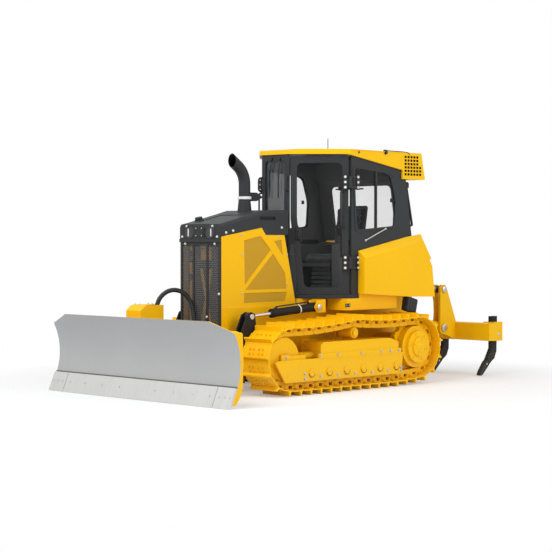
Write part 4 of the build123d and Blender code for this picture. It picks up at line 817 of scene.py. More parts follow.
def bolt_tree():
    """A hexagon head on a round washer at every point."""
    if "bolt" in TREES:
        return TREES["bolt"]
    sizes = ("Head Width", "Head Height", "Washer Width", "Washer Height")
    inputs = {"Geometry": "Geometry", **{label: "Float" for label in sizes}, "Material": "Material"}
    tree, keys, entry = new_tree("bolt_heads", inputs)
    link = tree.links.new

    def drum(sides, width, height, lift):
        body = tree.nodes.new("GeometryNodeMeshCylinder")
        body.inputs["Vertices"].default_value = sides
        link((width * 0.5).socket, body.inputs["Radius"])
        link(height.socket, body.inputs["Depth"])
        raised = tree.nodes.new("ShaderNodeCombineXYZ")
        link(lift.socket, raised.inputs["Z"])
        moved = tree.nodes.new("GeometryNodeTransform")
        link(body.outputs["Mesh"], moved.inputs["Geometry"])
        link(raised.outputs[0], moved.inputs["Translation"])
        return moved.outputs[0]

    head_width, head_height, washer_width, washer_height = (Value(tree, entry[label]) for label in sizes)
    both = tree.nodes.new("GeometryNodeJoinGeometry")
    link(drum(14, washer_width, washer_height, washer_height * 0.5), both.inputs[0])
    link(drum(6, head_width, head_height, washer_height + head_height * 0.5), both.inputs[0])
    end_tree(tree, entry, both.outputs[0])
    TREES["bolt"] = (tree, keys)
    return TREES["bolt"]


def pattern_tree():
    """Any pattern object at every point."""
    if "pattern" not in TREES:
        inputs = {"Geometry": "Geometry", "Pattern": "Object", "Material": "Material"}
        tree, keys, entry = new_tree("pattern_places", inputs)
        info = tree.nodes.new("GeometryNodeObjectInfo")
        tree.links.new(entry["Pattern"], info.inputs["Object"])
        end_tree(tree, entry, info.outputs["Geometry"])
        TREES["pattern"] = (tree, keys)
    return TREES["pattern"]


def spread(name, tree_keys, places, values, finish, body):
    """Runs a tree over places (point and turn) and keeps the plain mesh as one piece."""
    tree, keys = tree_keys
    points = bpy.data.meshes.new(name + "_places")
    points.from_pydata([tuple(place) for place, turn in places], [], [])
    turns = points.attributes.new("turn", "FLOAT_VECTOR", "POINT")
    for item, (place, turn) in zip(turns.data, places):
        item.vector = tuple(turn)
    carrier = temporary(name + "_places", points)
    modifier = carrier.modifiers.new("places", "NODES")
    modifier.node_group = tree
    for label, value in {**values, "Material": finishes()[finish][1]}.items():
        modifier[keys[label]] = value
    mesh = evaluated_mesh(carrier)
    mesh.name = name
    carrier.modifiers.remove(modifier)
    drop(carrier)
    return ridden(temporary(name, mesh), finish, body)


def bolts(name, places, width, body, finish="zinc", both=False):
    """Bolt heads at (point, outward direction) pairs, on both sides of the machine if asked."""
    if both:
        places = places + [((p[0], -p[1], p[2]), (d[0], -d[1], d[2])) for p, d in places]
    turns = [(place, facing(out).to_euler()) for place, out in places]
    values = {"Head Width": width, "Head Height": width * 0.5, "Washer Width": width * 1.55,
              "Washer Height": width * 0.16}
    return spread(name, bolt_tree(), turns, values, finish, body)


def repeated(name, pattern, places, finish, body):
    """A pattern mesh at (point, turn) pairs."""
    obj = temporary(name + "_pattern", pattern)
    piece = spread(name, pattern_tree(), places, {"Pattern": obj}, finish, body)
    drop(obj)
    return piece


def side_heads(y, pairs):
    """Places of bolts that face left, from X and Z pairs on a side face."""
    return [((x, y, z), Y) for x, z in pairs]


# Tracks and undercarriage

def chain_pins(pitch):
    """Pins shared out evenly along the chain's line, in X and Z, forward along the ground first."""
    line = [(ROLLER_XS[0], PITCH_HEIGHT)]
    line += circle(IDLER, IDLER_PITCH_RADIUS, 60, -90, 180)[:-1]
    front = (IDLER[0], IDLER[1] + IDLER_PITCH_RADIUS)
    rear = (SPROCKET[0], SPROCKET[1] + SPROCKET_PITCH_RADIUS)
    for (x0, z0), (x1, z1) in ((front, CARRIER), (CARRIER, rear)):
        for i in range(60):
            t = i / 60
            line.append((x0 + t * (x1 - x0), z0 + t * (z1 - z0) - 4 * CHAIN_SAG * t * (1 - t)))
    to_roller = (ROLLER_XS[0] - SPROCKET[0], PITCH_HEIGHT - SPROCKET[1])
    bearing = math.degrees(math.atan2(to_roller[1], to_roller[0]))
    leave = bearing - math.degrees(math.acos(SPROCKET_PITCH_RADIUS / math.hypot(*to_roller))) + 360
    line += circle(SPROCKET, SPROCKET_PITCH_RADIUS, 60, 90, leave - 90)
    line.append(line[0])
    runs = [0.0]
    for a, b in zip(line, line[1:]):
        runs.append(runs[-1] + math.dist(a, b))
    count = round(runs[-1] / pitch)
    pins = []
    place = 0
    for i in range(count):
        target = runs[-1] * i / count
        while runs[place + 1] < target:
            place += 1
        share = (target - runs[place]) / (runs[place + 1] - runs[place])
        pins.append(tuple(a + share * (b - a) for a, b in zip(line[place], line[place + 1])))
    return pins


def on_link(here, heading, along, out):
    """A point on a link: along it from its pin and outwards from the pin line."""
    c, s = math.cos(heading), math.sin(heading)
    return here[0] + c * along + s * out, here[1] + s * along - c * out


def link_pattern(pitch, width, spacing):
    """One link: shoe with its grouser, two link plates with windows, and the pin's bosses."""
    stock = Stock()
    shoe = [(0.003, 0.044), (0.003, 0.055), (0.014, 0.055), (0.023, 0.103), (0.039, 0.103), (0.048, 0.055),
            (pitch - 0.016, 0.055), (pitch + 0.004, 0.0435), (pitch + 0.031, 0.0435), (pitch + 0.031, 0.035),
            (pitch - 0.006, 0.035), (pitch - 0.020, 0.044)]
    stock.plate(shoe, SHOE_WIDTH, plane((0, 0, 0), X, -Z), bevel=0.0022)
    plate = [(0.004, -0.040), (0.012, -0.044), (pitch - 0.012, -0.044), (pitch - 0.004, -0.040),
             (pitch - 0.003, 0.014), (pitch - 0.026, 0.0445), (0.026, 0.0445), (0.003, 0.014)]
    opening = [(0.050, 0.010), (0.058, 0.002), (pitch - 0.058, 0.002), (pitch - 0.050, 0.010),
               (pitch - 0.056, 0.034), (0.056, 0.034)]
    half = spacing / 2
    for side in (-1, 1):
        stock.plate(plate, width, plane((0, side * half, 0), X, -Z), [opening])
        outer = half + width / 2
        stock.disc((0, side * (outer - 0.012), 0), Y * side, 0.034, 0.018, 0.004, 14)
        stock.disc((0, side * (outer + 0.004), 0), Y * side, 0.018, 0.008, 0.002, 12)
    stock.turned([(0, -half), (0.026, -half), (0.026, half), (0, half)], (0, 0, 0), Y, 12)
    return stock.plain("track_link")


def make_tracks():
    """Both chains, link by link, with two rows of four bolts on each shoe."""
    sizes = bpy.context.scene.dozer_track
    pins = chain_pins(sizes.pitch)
    ahead = pins[1:] + pins[:1]
    places = [(a, math.atan2(b[1] - a[1], b[0] - a[0])) for a, b in zip(pins, ahead)]
    step = math.dist(pins[0], pins[1])
    for side, node in ((1, "track_left"), (-1, "track_right")):
        y = side * TRACK_Y
        spots = [((here[0], y, here[1]), (0.0, -heading, 0.0)) for here, heading in places]
        pattern = link_pattern(step, sizes.link_width, sizes.rail_spacing)
        chain = repeated("chain_" + node, pattern, spots, "yellow", "chassis")
        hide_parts(node)
        heads = []
        for here, heading in places:
            out = (math.sin(heading), 0.0, -math.cos(heading))
            for along in (0.074, 0.124):
                x, z = on_link(here, heading, along, 0.0545)
                heads += [((x, y + across, z), out) for across in (-0.096, -0.040, 0.040, 0.096)]
        bolts("shoe_bolts_" + node, heads, sizes.shoe_bolt, "chassis", "yellow")


def make_undercarriage():
    """Caps of the rollers, the carrier and the final drive, and the bolts of guard and drive."""
    stock = Stock()
    for x in ROLLER_XS:
        stock.turned([(0, 0), (0.040, 0), (0.040, 0.003), (0.034, 0.007), (0.018, 0.007), (0.014, 0.003),
                      (0, 0.003)], (x, GUARD_SIDE_Y + 0.0095, ROLLER_CAP_Z), Y)
    stock.turned([(0, 0), (0.040, 0), (0.040, 0.006), (0.034, 0.010), (0.020, 0.010), (0.016, 0.006),
                  (0, 0.006)], (CARRIER[0], TRACK_Y + 0.1235, CARRIER[1] - 0.107), Y)
    # Thin black arcs below each roller cap on the guard are painted shadow.
    arc = circle((0, 0), 0.047, 12, 185, 170) + circle((0, 0), 0.0395, 12, 185, 170)[::-1]
    shadow_arc = Stock().plate(arc, 0.003, plane((0, 0, 0), X, Z), bevel=0.0005)
    spots = [(x, side * (GUARD_SIDE_Y + 0.0100), ROLLER_CAP_Z) for x in ROLLER_XS for side in (-1, 1)]
    unturned = (0, 0, 0)
    repeated("cap_recesses", shadow_arc.plain("cap_recess"), [(p, unturned) for p in spots], "black", "chassis")
    stock.turned([(0, 0), (0.066, 0), (0.060, 0.010), (0.030, 0.012), (0.024, 0.018), (0, 0.018)],
                 (SPROCKET[0], HUB_Y - 0.001, SPROCKET[1]), Y)
    stock.done("hub_caps", "yellow", "chassis", both=True)
    rail = [(0.964, 0.224), (0.964, 0.170)] + [(x + ROLLER_SPACING / 2, 0.184) for x in ROLLER_XS[:-1]]
    rail += [(ROLLER_XS[0] - 0.085, z) for z in (0.172, 0.210)]
    rim = [(x, 0.405) for x in (0.735, 0.452, 0.072, -0.257, -0.412, -0.560)]
    heads = side_heads(GUARD_SIDE_Y, rail) + side_heads(RIM_Y, rim) + side_heads(0.889, [(1.221, 0.405)])
    bolts("guard_rail_bolts", heads, 0.022, "chassis", both=True)
    drive = side_heads(HUB_Y, circle(SPROCKET, 0.092, 4, 20))
    drive += side_heads(TRACK_Y + 0.165, circle(SPROCKET, 0.150, 6, 10))
    bolts("final_drive_bolts", drive, 0.016, "chassis", "yellow", both=True)


# Engine bay

def make_front_screen():
    """The grille: a frame with two posts, and perforated screens between them."""
    low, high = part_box("grille")
    pitch = fitting().mesh_pitch
    columns = ((-0.285, -0.125), (-0.095, 0.095), (0.125, 0.285))
    top, foot = high[2] - 0.030, low[2] + 0.030
    rings = [rectangle(a, foot, b, top) for a, b in columns]
    outline = rectangle(low[1], low[2], high[1], high[2])
    middle = plane(((low[0] + high[0]) / 2, 0, 0), Y, Z)
    stock = Stock().plate(outline, high[0] - low[0], middle, rings, 0.003)
    grille = stock.done("grille_frame", "dark", "chassis")
    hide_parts("grille")
    hexagon, hole = circle((0, 0), pitch / 3 ** 0.5, 6, 90), circle((0, 0), pitch * 0.40, 10)
    cell = Stock().plate(hexagon, 0.004, plane((0, 0, 0), X, Y), [hole], 0.0004)
    places = []
    turn = facing(X).to_euler()
    row_step = pitch * 3 ** 0.5 / 2
    for a, b in columns:
        for row in range(int((top - foot) / row_step) + 1):
            start = a + (pitch / 2 if row % 2 else 0.0)
            across = [start + i * pitch for i in range(int((b - start) / pitch) + 1)]
            places += [((low[0] + 0.006, y, foot + row * row_step), turn) for y in across]
    repeated("grille_screens", cell.plain("screen_cell"), places, "screen", "chassis")
    heads = [((high[0], side * 0.235, z), X) for side in (-1, 1) for z in (top + 0.014, foot - 0.014)]
    heads += [((high[0], y, z), X) for y, z in ((-0.302, 1.080), (0.302, 1.080), (0.110, 0.830))]
    bolts("grille_bolts", heads, fitting().nose_bolt, "chassis", "bright")


def make_engine_bay():
    """Lamp rims, the nose's bare plate, vent and cheeks, filler cap, bolts and the stack's band."""
    stock = Stock()
    for side in (-1, 1):
        stock.turned([(0.060, 0), (0.076, 0), (0.076, 0.003), (0.066, 0.007), (0.060, 0.004), (0.060, 0)],
                     (NOSE_X - 0.0005, side * 0.165, LAMP_Z), X, 36)
    face = plane((NOSE_X + 0.002, 0, 0), Y, Z)
    stock.plate(soft_corners(rectangle(-0.072, 1.688, 0.052, 1.792), 0.018), 0.006, face)
    stock.plate(rectangle(0.064, 1.682, 0.090, 1.784), 0.008, face)
    for i in range(6):
        z = 1.688 + i * 0.0158
        stock.box((NOSE_X + 0.001, 0.066, z), (NOSE_X + 0.008, 0.088, z + 0.008), 0.002)
    back, rise = HOOD_NOSE[0] - HOOD_COWL[0], HOOD_COWL[1] - HOOD_NOSE[1]
    cap_x = 1.45
    cap_z = HOOD_NOSE[1] + (HOOD_NOSE[0] - cap_x) / back * rise
    stock.turned([(0, -0.004), (0.052, -0.004), (0.052, 0.006), (0.042, 0.010), (0.042, 0.030),
                  (0.036, 0.036), (0, 0.036)], (cap_x, -0.235, cap_z), (rise, 0, back))
    stock.done("nose_fittings", "black", "chassis")
    heads = []
    for side in (-1, 1):
        heads += [((NOSE_X, side * y, z), X) for y, z in ((0.205, 1.802), (0.278, 1.690))]
        upper = ((1.565, 1.734), (1.462, 1.754), (0.723, 1.791))
        heads += [((x, side * PANEL_Y, z), Y * side) for x, z in upper]
    bolts("nose_bolts", heads, fitting().nose_bolt, "chassis", "bright")
    heads = [((NOSE_X + 0.005, y, z), X) for y in (-0.055, 0.035) for z in (1.700, 1.780)]
    bolts("nose_plate_bolts", heads, fitting().tiny_bolt, "chassis")
    heads = side_heads(PANEL_Y, ((1.339, 1.705), (1.339, 1.497), (1.339, 1.082), (0.768, 1.693),
                                 (0.640, 1.492), (0.640, 1.163)))
    bolts("panel_bolts", heads, fitting().small_bolt, "chassis", both=True)
    cheek = Stock().box((1.553, 0.290, 0.575), (1.6325, 0.321, 0.9325))
    cheek.done("nose_cheeks", "yellow", "chassis", both=True)
    Stock().band((0.985, 0, 2.102), Z, 0.064, 0.0765, 0.031).done("stack_band", "bright", "chassis")


# Cab

def on_door(along, out, z, side=1):
    """A point on a door: along from its hinge post, out from its outer face, at a height."""
    run = Vector((FRONT_POST[0] - HINGE_POST[0], FRONT_POST[1] - HINGE_POST[1])).normalized()
    x = HINGE_POST[0] + run.x * along - run.y * out
    y = HINGE_POST[1] + run.y * along + run.x * out
    return Vector((x, side * y, z))


def make_doors():
    """Hinge leaves with their bolts, grab bars, locks and handles on both doors."""
    grab = ((0.060, -0.004, 1.80), (0.100, 0.045, 1.80), (0.100, 0.045, 2.20), (0.060, -0.004, 2.20))
    handle = ((0.575, 0.004, 1.76), (0.575, 0.038, 1.75), (0.575, 0.038, 1.67), (0.575, 0.010, 1.66))
    for side, body in ((1, "door_left"), (-1, "door_right")):
        out = (on_door(0, 1, 0, side) - on_door(0, 0, 0, side)).normalized()
        run = (on_door(1, 0, 0, side) - on_door(0, 0, 0, side)).normalized()
        stock = Stock()
        stock.tube([on_door(*place, side) for place in grab], fitting().rail, 0.03)
        for z in (1.80, 2.20):
            stock.disc(on_door(0.060, 0.0, z, side), out, 0.022, 0.007)
        lock = plane(on_door(0.575, 0.006, 1.72, side), run, Z)
        stock.plate(rectangle(-0.030, -0.07, 0.030, 0.07), 0.012, lock, bevel=0.004)
        stock.tube([on_door(*place, side) for place in handle], 0.009, 0.015)
        leaf = rectangle(0.022, -0.085, 0.078, 0.085)
        heads = []
        for z in HINGE_HEIGHTS:
            stock.plate(leaf, 0.030, plane(on_door(0, 0.0148, z, side), run, Z), bevel=0.003)
            heads += [(on_door(0.050, 0.0298, z + shift, side), out) for shift in HINGE_BOLT_STEPS]
        stock.done("door_fittings_" + body, "black", body)
        bolts("hinge_bolts_" + body, heads, fitting().hinge_bolt, body, "bright")


def make_cab_fittings():
    """Hinge plates, window dividers and seals, grab rails, struts, wipers, roof cables and gutters."""
    stock = Stock()
    heads = []
    for z in HINGE_HEIGHTS:
        stock.box((-0.125, 0.700, z - 0.085), (-0.070, 0.711, z + 0.085))
        heads += side_heads(0.711, [(-0.098, z + shift) for shift in HINGE_BOLT_STEPS])
    stock.box((-0.428, 0.684, 1.782), (-0.394, 0.708, 2.436), 0.004)
    stock.box((-0.690, 0.700, 2.085), (-0.650, 0.716, 2.130), 0.004)
    stock.box((-0.684, 0.714, 2.098), (-0.664, 0.730, 2.116), 0.004)
    corners = ((-0.022, 2.474), (-0.560, 2.428), (-0.660, 2.392), (-0.752, 2.107),
               (-0.730, 1.800), (-0.066, 1.750))
    seal = [Vector(p) for p in corners]
    middle = sum(seal, Vector((0, 0))) / len(seal)
    outer, inner = ([middle + (p - middle) * size for p in seal] for size in (1.02, 0.955))
    stock.plate(soft_corners(outer, 0.055), 0.010, plane((0, 0.704, 0), X, Z), [soft_corners(inner, 0.045)])
    for foot, top in ((2.20, 2.36), (1.55, 1.91)):
        stock.tube([(0.506, 0.205, foot), (0.556, 0.215, foot + 0.01), (0.556, 0.215, top - 0.01),
                    (0.506, 0.205, top)], fitting().rail, 0.03)
    stock.done("cab_fittings", "black", "chassis", both=True)
    bolts("cab_bolts", heads, fitting().hinge_bolt, "chassis", "bright", both=True)
    ends = ((-0.225, 1.650), (-0.565, 1.782))
    strut = Stock().tube([(x, 0.712, z) for x, z in ends], 0.007)
    for x, z in ends:
        strut.disc((x, 0.701, z), Y, 0.014, 0.016)
    strut.done("window_struts", "zinc", "chassis", both=True)
    wiper = Stock()
    for y, swing in ((-0.045, -0.035), (0.085, -0.020)):
        tip = y + swing
        wiper.tube([(0.520, y, 2.565), (0.526, tip, 2.290)], 0.006)
        wiper.disc((0.512, y, 2.565), X, 0.016, 0.018)
        wiper.box((0.519, tip - 0.007, 2.13), (0.529, tip + 0.007, 2.45))
    wiper.done("wipers", "black", "chassis")
    roof = Stock()
    roof.disc((-0.093, 0.7235, 2.636), Y, 0.011, 0.012)
    roof.disc((-0.545, 0.7235, 2.648), Y, 0.020, 0.026, 0.006)
    roof.box((-0.585, 0.700, 2.660), (-0.530, 0.728, 2.682), 0.005)
    roof.tube([(-0.570, 0.716, 2.672), (-0.700, 0.717, 2.671), (-0.860, 0.719, 2.669), (-0.945, 0.727, 2.662),
               (-0.965, 0.726, 2.640)], 0.005, 0.03)
    roof.done("roof_cables", "black", "chassis", both=True)
    gutter = Stock().box((-0.80, 0.722, 2.655), (0.02, 0.731, 2.664), 0.002)
    gutter.done("roof_gutters", "yellow", "chassis", both=True)


def make_cab_rear():
    """Rear lamps under the roof, rear wiper, the roof's ribs and lid, and a bolted panel."""
    lamp = Stock().box((-1.180, 0.420, 2.255), (-1.110, 0.545, 2.335), 0.012)
    lamp.box((-1.152, 0.472, 2.330), (-1.138, 0.493, 2.359), 0.002)
    lamp.done("rear_lamp_bodies", "black", "chassis", both=True)
    ring = soft_corners(rectangle(0.432, 2.267, 0.533, 2.323), 0.014)
    lens = Stock().plate(ring, 0.006, plane((-1.1805, 0, 0), Y, Z))
    lens.done("rear_lamp_lenses", "bright", "chassis", both=True)
    up = Vector((0.118, 0, 0.712)).normalized()
    out = Vector((-up.z, 0, up.x))
    pivot, tip = Vector((-0.9335, 0.100, 2.318)), Vector((-0.9427, -0.280, 2.262))
    wiper = Stock().disc(pivot - out * 0.002, out, 0.024, 0.028)
    wiper.tube([pivot + out * 0.020, tip + out * 0.016], 0.006)
    wiper.plate(rectangle(-0.140, -0.008, 0.300, 0.008), 0.020, plane(tip + out * 0.006, Y, up))
    panel = soft_corners(rectangle(-0.300, 1.130, 0.300, 1.560), 0.040)
    wiper.plate(panel, 0.008, plane((-1.0475, 0, 0), Y, Z))
    wiper.done("cab_rear_fittings", "black", "chassis")
    heads = [((-1.0515, y, z), -X) for y in (-0.265, 0.265) for z in (1.165, 1.345, 1.525)]
    bolts("rear_panel_bolts", heads, fitting().small_bolt, "chassis")
    lid = Stock()
    for y in (-0.260, 0.260):
        lid.box((-0.800, y - 0.040, 2.656), (-0.130, y + 0.040, 2.677), 0.009)
    outline = soft_corners(rectangle(-1.150, -0.560, -0.880, 0.560), 0.040)
    lid.plate(outline, 0.016, plane((0, 0, 2.663), X, Y), bevel=0.004)
    lid.done("roof_lid", "yellow", "chassis")
    heads = [((x, y, 2.671), Z) for x in (-1.115, -0.915) for y in (-0.520, 0.0, 0.520)]
    bolts("roof_lid_bolts", heads, fitting().small_bolt, "chassis")


def make_tank_fittings():
    """Rims on the tanks' tops, step boxes and tread plates."""
    stock = Stock()
    tilt = Matrix.Translation((-0.922, 0.720, 0.916)) @ Matrix.Rotation(math.radians(-14), 4, "Y")
    stock.box((-0.110, 0.0, -0.092), (0.085, 0.078, 0.075), 0.010, tilt)
    for i in range(4):
        x = -0.098 + i * 0.046
        stock.box((x, 0.076, -0.077), (x + 0.032, 0.080, 0.060), 0.002, tilt)
    stock.plate(rectangle(0.045, 0.906, 0.125, 0.946), 0.006, plane((0, 0.722, 0), X, Z))
    stock.done("step_boxes", "black", "chassis", both=True)
    edge = [(-0.800, -0.045), (-0.8005, -0.012), (-0.716, 0.072), (-0.706, 0.072), (-0.706, -0.020)]
    line = [(-0.115, 1.461), (-0.953, 1.6198), (-1.146, 1.6446), (-1.2838, 1.4446)]
    Stock().swept(edge, line).done("tank_covers", "yellow", "chassis", both=True)
    heads = side_heads(0.7255, ((0.062, 0.926), (0.108, 0.926)))
    bolts("tread_bolts", heads, fitting().tiny_bolt, "chassis", both=True)


def cushion(name, low, high, matrix=None):
    """A padded cushion: a soft box blown up a little by pressure, its swelling capped."""
    round_off, most_swelling, last_frame = 0.035, 0.012, 15
    obj = temporary(name, Stock().box(low, high, round_off, matrix).plain(name))
    voxel = obj.modifiers.new("even", "REMESH")
    voxel.mode = "VOXEL"
    voxel.voxel_size = 0.012
    soft = evaluated_mesh(obj)
    drop(obj)
    obj = temporary(name, soft)
    start = [v.co.copy() for v in soft.vertices]
    fabric = obj.modifiers.new("fabric", "CLOTH")
    fabric.settings.use_pressure = True
    fabric.settings.uniform_pressure_force = 4.0
    fabric.settings.effector_weights.gravity = 0.0
    scene = bpy.context.scene
    for number in range(1, last_frame + 1):
        scene.frame_set(number)
    blown = evaluated_mesh(obj)
    obj.modifiers.remove(fabric)
    for vert, was, now in zip(soft.vertices, start, blown.vertices):
        move = now.co - was
        if move.length > most_swelling:
            move = move.normalized() * most_swelling
        vert.co = was + move
    bpy.data.meshes.remove(blown)
    scene.frame_set(1)
    for face in soft.polygons:
        face.use_smooth = True
    ridden(obj, "cloth", "chassis")


def make_seat():
    """Two cushions on the seat's pan, bellows and back."""
    floor = CAB_FLOOR
    cushion("seat_cushion", (-0.610, -0.225, floor + 0.345), (-0.150, 0.225, floor + 0.435))
    lean = Matrix.Translation((-0.655, 0, floor + 0.47)) @ Matrix.Rotation(math.radians(-9.5), 4, "Y")
    cushion("seat_back", (-0.045, -0.210, 0.0), (0.030, 0.210, 0.555), lean)
    stock = Stock().box((-0.600, -0.190, floor), (-0.200, 0.190, floor + 0.050), 0.008)
    for i in range(5):
        inset, foot = i * 0.003, floor + 0.05 + i * 0.05
        low, high = (-0.575 + inset, -0.165 + inset, foot), (-0.225 - inset, 0.165 - inset, foot + 0.042)
        stock.box(low, high, 0.012)
    stock.box((-0.635, -0.235, floor + 0.300), (-0.140, 0.235, floor + 0.340), 0.012)
    stock.box((-0.090, -0.215, 0.0), (-0.055, 0.215, 0.560), 0.015, lean)
    frame_piece = stock.done("seat_frame", "trim", "chassis")
    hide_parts("seat")


def make_controls():
    """Levers with boots on the arm consoles, armrests, a display and pedals."""
    stock = Stock()
    floor = CAB_FLOOR
    lever = [(0, 0), (0.055, 0), (0.050, 0.010), (0.030, 0.040), (0.022, 0.070), (0.014, 0.085),
             (0.014, 0.120), (0.024, 0.140), (0.027, 0.190), (0.020, 0.225), (0, 0.235)]
    for side in (-1, 1):
        arm, pedal = side * 0.332, side * 0.09
        stock.turned(lever, (-0.20, arm, floor + 0.56), (0.12, 0, 1))
        stock.box((-0.53, arm - 0.050, floor + 0.556), (-0.28, arm + 0.050, floor + 0.612), 0.018)
        stock.box((0.30, pedal - 0.035, floor + 0.05), (0.325, pedal + 0.035, floor + 0.17), 0.006)
        stock.tube([(0.31, pedal, floor + 0.002), (0.31, pedal, floor + 0.08)], 0.012)
    stock.box((0.375, -0.110, 1.490), (0.410, 0.110, 1.640), 0.010)
    stock.done("controls", "black", "chassis")


# Blade, cylinders and ripper

def make_blade_fittings():
    """Edge bolts and joints, end skids, the guard's cover, pins of the arms and lifts, and the yoke's cap."""
    turn = facing(EDGE_OUT).to_euler()
    across = (0.285, 0.578, 0.863, 1.120, 1.259, 1.338, 1.415)
    places = [((2.5392, side * y, 0.110), turn) for y in across for side in (-1, 1)]
    # A grey ring round each plough bolt's head is painted shade of its countersink.
    shade_ring = Stock().turned([(0, -0.002), (0.011, -0.002), (0.011, 0.0006), (0, 0.001)], (0, 0, 0), Z, 14)
    repeated("edge_bolt_seats", shade_ring.plain("bolt_seat"), places, "screen", "blade")
    head = Stock().turned([(0, -0.002), (0.009, -0.002), (0.009, 0.002), (0.006, 0.003), (0, 0.003)],
                          (0, 0, 0), Z, 8)
    repeated("edge_bolts", head.plain("plough_bolt"), places, "zinc", "blade")
    # A dark grey bead along the edge's joint with the blade and down its end joints: partly the weld, partly
    # painted shade of the gap.
    seam = Stock().tube([(2.4735, -1.448, 0.2095), (2.4735, 1.448, 0.2095)], 0.007, detail=2)
    for y in (-1.201, 1.201):
        seam.tube([(2.4965, y, 0.199), (2.5820, y, 0.0085)], 0.004, detail=2)
    seam.done("edge_seam", "screen", "blade")
    skid = [(2.405, 0.200), (2.412, 0.150), (2.440, 0.095), (2.490, 0.035), (2.520, 0.030), (2.549, 0.036),
            (2.493, 0.160), (2.468, 0.200)]
    Stock().plate(skid, 0.013, plane((0, 1.4425, 0), X, Z)).done("end_skids", "yellow", "blade", both=True)
    low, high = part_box("hose_guard")
    lid = rectangle(low[0] + 0.020, low[1] + 0.014, high[0] - 0.080, low[1] + 0.124)
    cover = Stock().plate(lid, 0.006, plane((0, 0, high[2] + 0.001), X, Y))
    cover.done("guard_cover", "yellow", "blade_yoke")
    places = [((x, y, high[2] + 0.004), Z) for x in (low[0] + 0.040, high[0] - 0.100)
              for y in (low[1] + 0.034, low[1] + 0.104)]
    places += side_heads(high[1], [(x, low[2] + 0.03) for x in (low[0] + 0.16, high[0] - 0.04)])
    bolts("guard_bolts", places, 0.016, "blade_yoke")
    pins = Stock().turned([(0, 0), (0.030, 0), (0.028, 0.0035), (0, 0.0035)], LIFT_EYE + Y * 0.051, Y)
    pins.turned([(0, 0), (0.030, 0), (0.030, 0.006), (0, 0.008)], LIFT_EYE - Y * 0.051, -Y)
    pins.done("lift_eye_pins", "zinc", "c_frame", both=True)
    base = Stock().disc(LIFT_BASE + Y * 0.080, Y, 0.036, 0.010, 0.004, inset=0.008)
    base.disc(ARM_PIN, Y, 0.056, 0.016, 0.006, inset=0.010)
    base.done("base_pins", "zinc", "chassis", both=True)
    cap = Stock().turned([(0, 0), (0.080, 0), (0.080, 0.008), (0.060, 0.014), (0.020, 0.014), (0.016, 0.026),
                          (0, 0.028)], (2.150, 0, 0.5935), Z)
    cap.done("yoke_cap", "black", "c_frame")


def barrel_pipe(base, along, up, ends, heights, radius, bend):
    """A pipe on a barrel: up from it at one end, along it and down to it at the other end."""
    first, last = (base + along * end for end in ends)
    low, high = (up * height for height in heights)
    return Stock().tube([first + low, first + high, last + high, last + low], radius, bend)


def make_cylinder_fittings():
    """Pipes, ports and clamp bands on the barrels."""
    pipe = fitting().pipe
    along = (LIFT_EYE - LIFT_BASE).normalized()
    up = along.cross(Y).normalized()
    ports = (0.090, 0.600)
    stock = barrel_pipe(LIFT_BASE, along, up, ports, (0.046, 0.066), pipe, 0.018)
    for port in ports:
        stock.disc(LIFT_BASE + along * port + up * 0.040, up, 0.018, 0.020, 0.002, 12)
    stock.done("lift_pipes", "black", "lift_barrels", both=True)
    place = LIFT_BASE + along * 0.255
    bands = Stock().band(place - along * 0.008, along, 0.0445, 0.0485, 0.016)
    bands.box((-0.008, -0.010, 0.0), (0.008, 0.010, 0.016), 0.003, plane(place + up * 0.046, Y.cross(up), Y))
    bands.done("lift_clamps", "bright", "lift_barrels", both=True)
    along = (RIPPER_EYE - RIPPER_BASE).normalized()
    stock = barrel_pipe(RIPPER_BASE, along, Z, (0.10, 0.48), (0.044, 0.064), pipe, 0.018)
    stock.band(RIPPER_BASE + along * 0.28, along, 0.0445, 0.0485, 0.018)
    stock.done("ripper_pipes", "black", "ripper_barrels", both=True)
    for side, body in ((1, "angle_barrel_left"), (-1, "angle_barrel_right")):
        base, eye = (Vector((x, side * y, z)) for x, y, z in (ANGLE_BASE, ANGLE_EYE))
        along = (eye - base).normalized()
        stock = barrel_pipe(base, along, Z, (0.09, 0.53), (0.030, 0.044), 0.006, 0.012)
        stock.done("angle_pipe_" + body, "black", body)


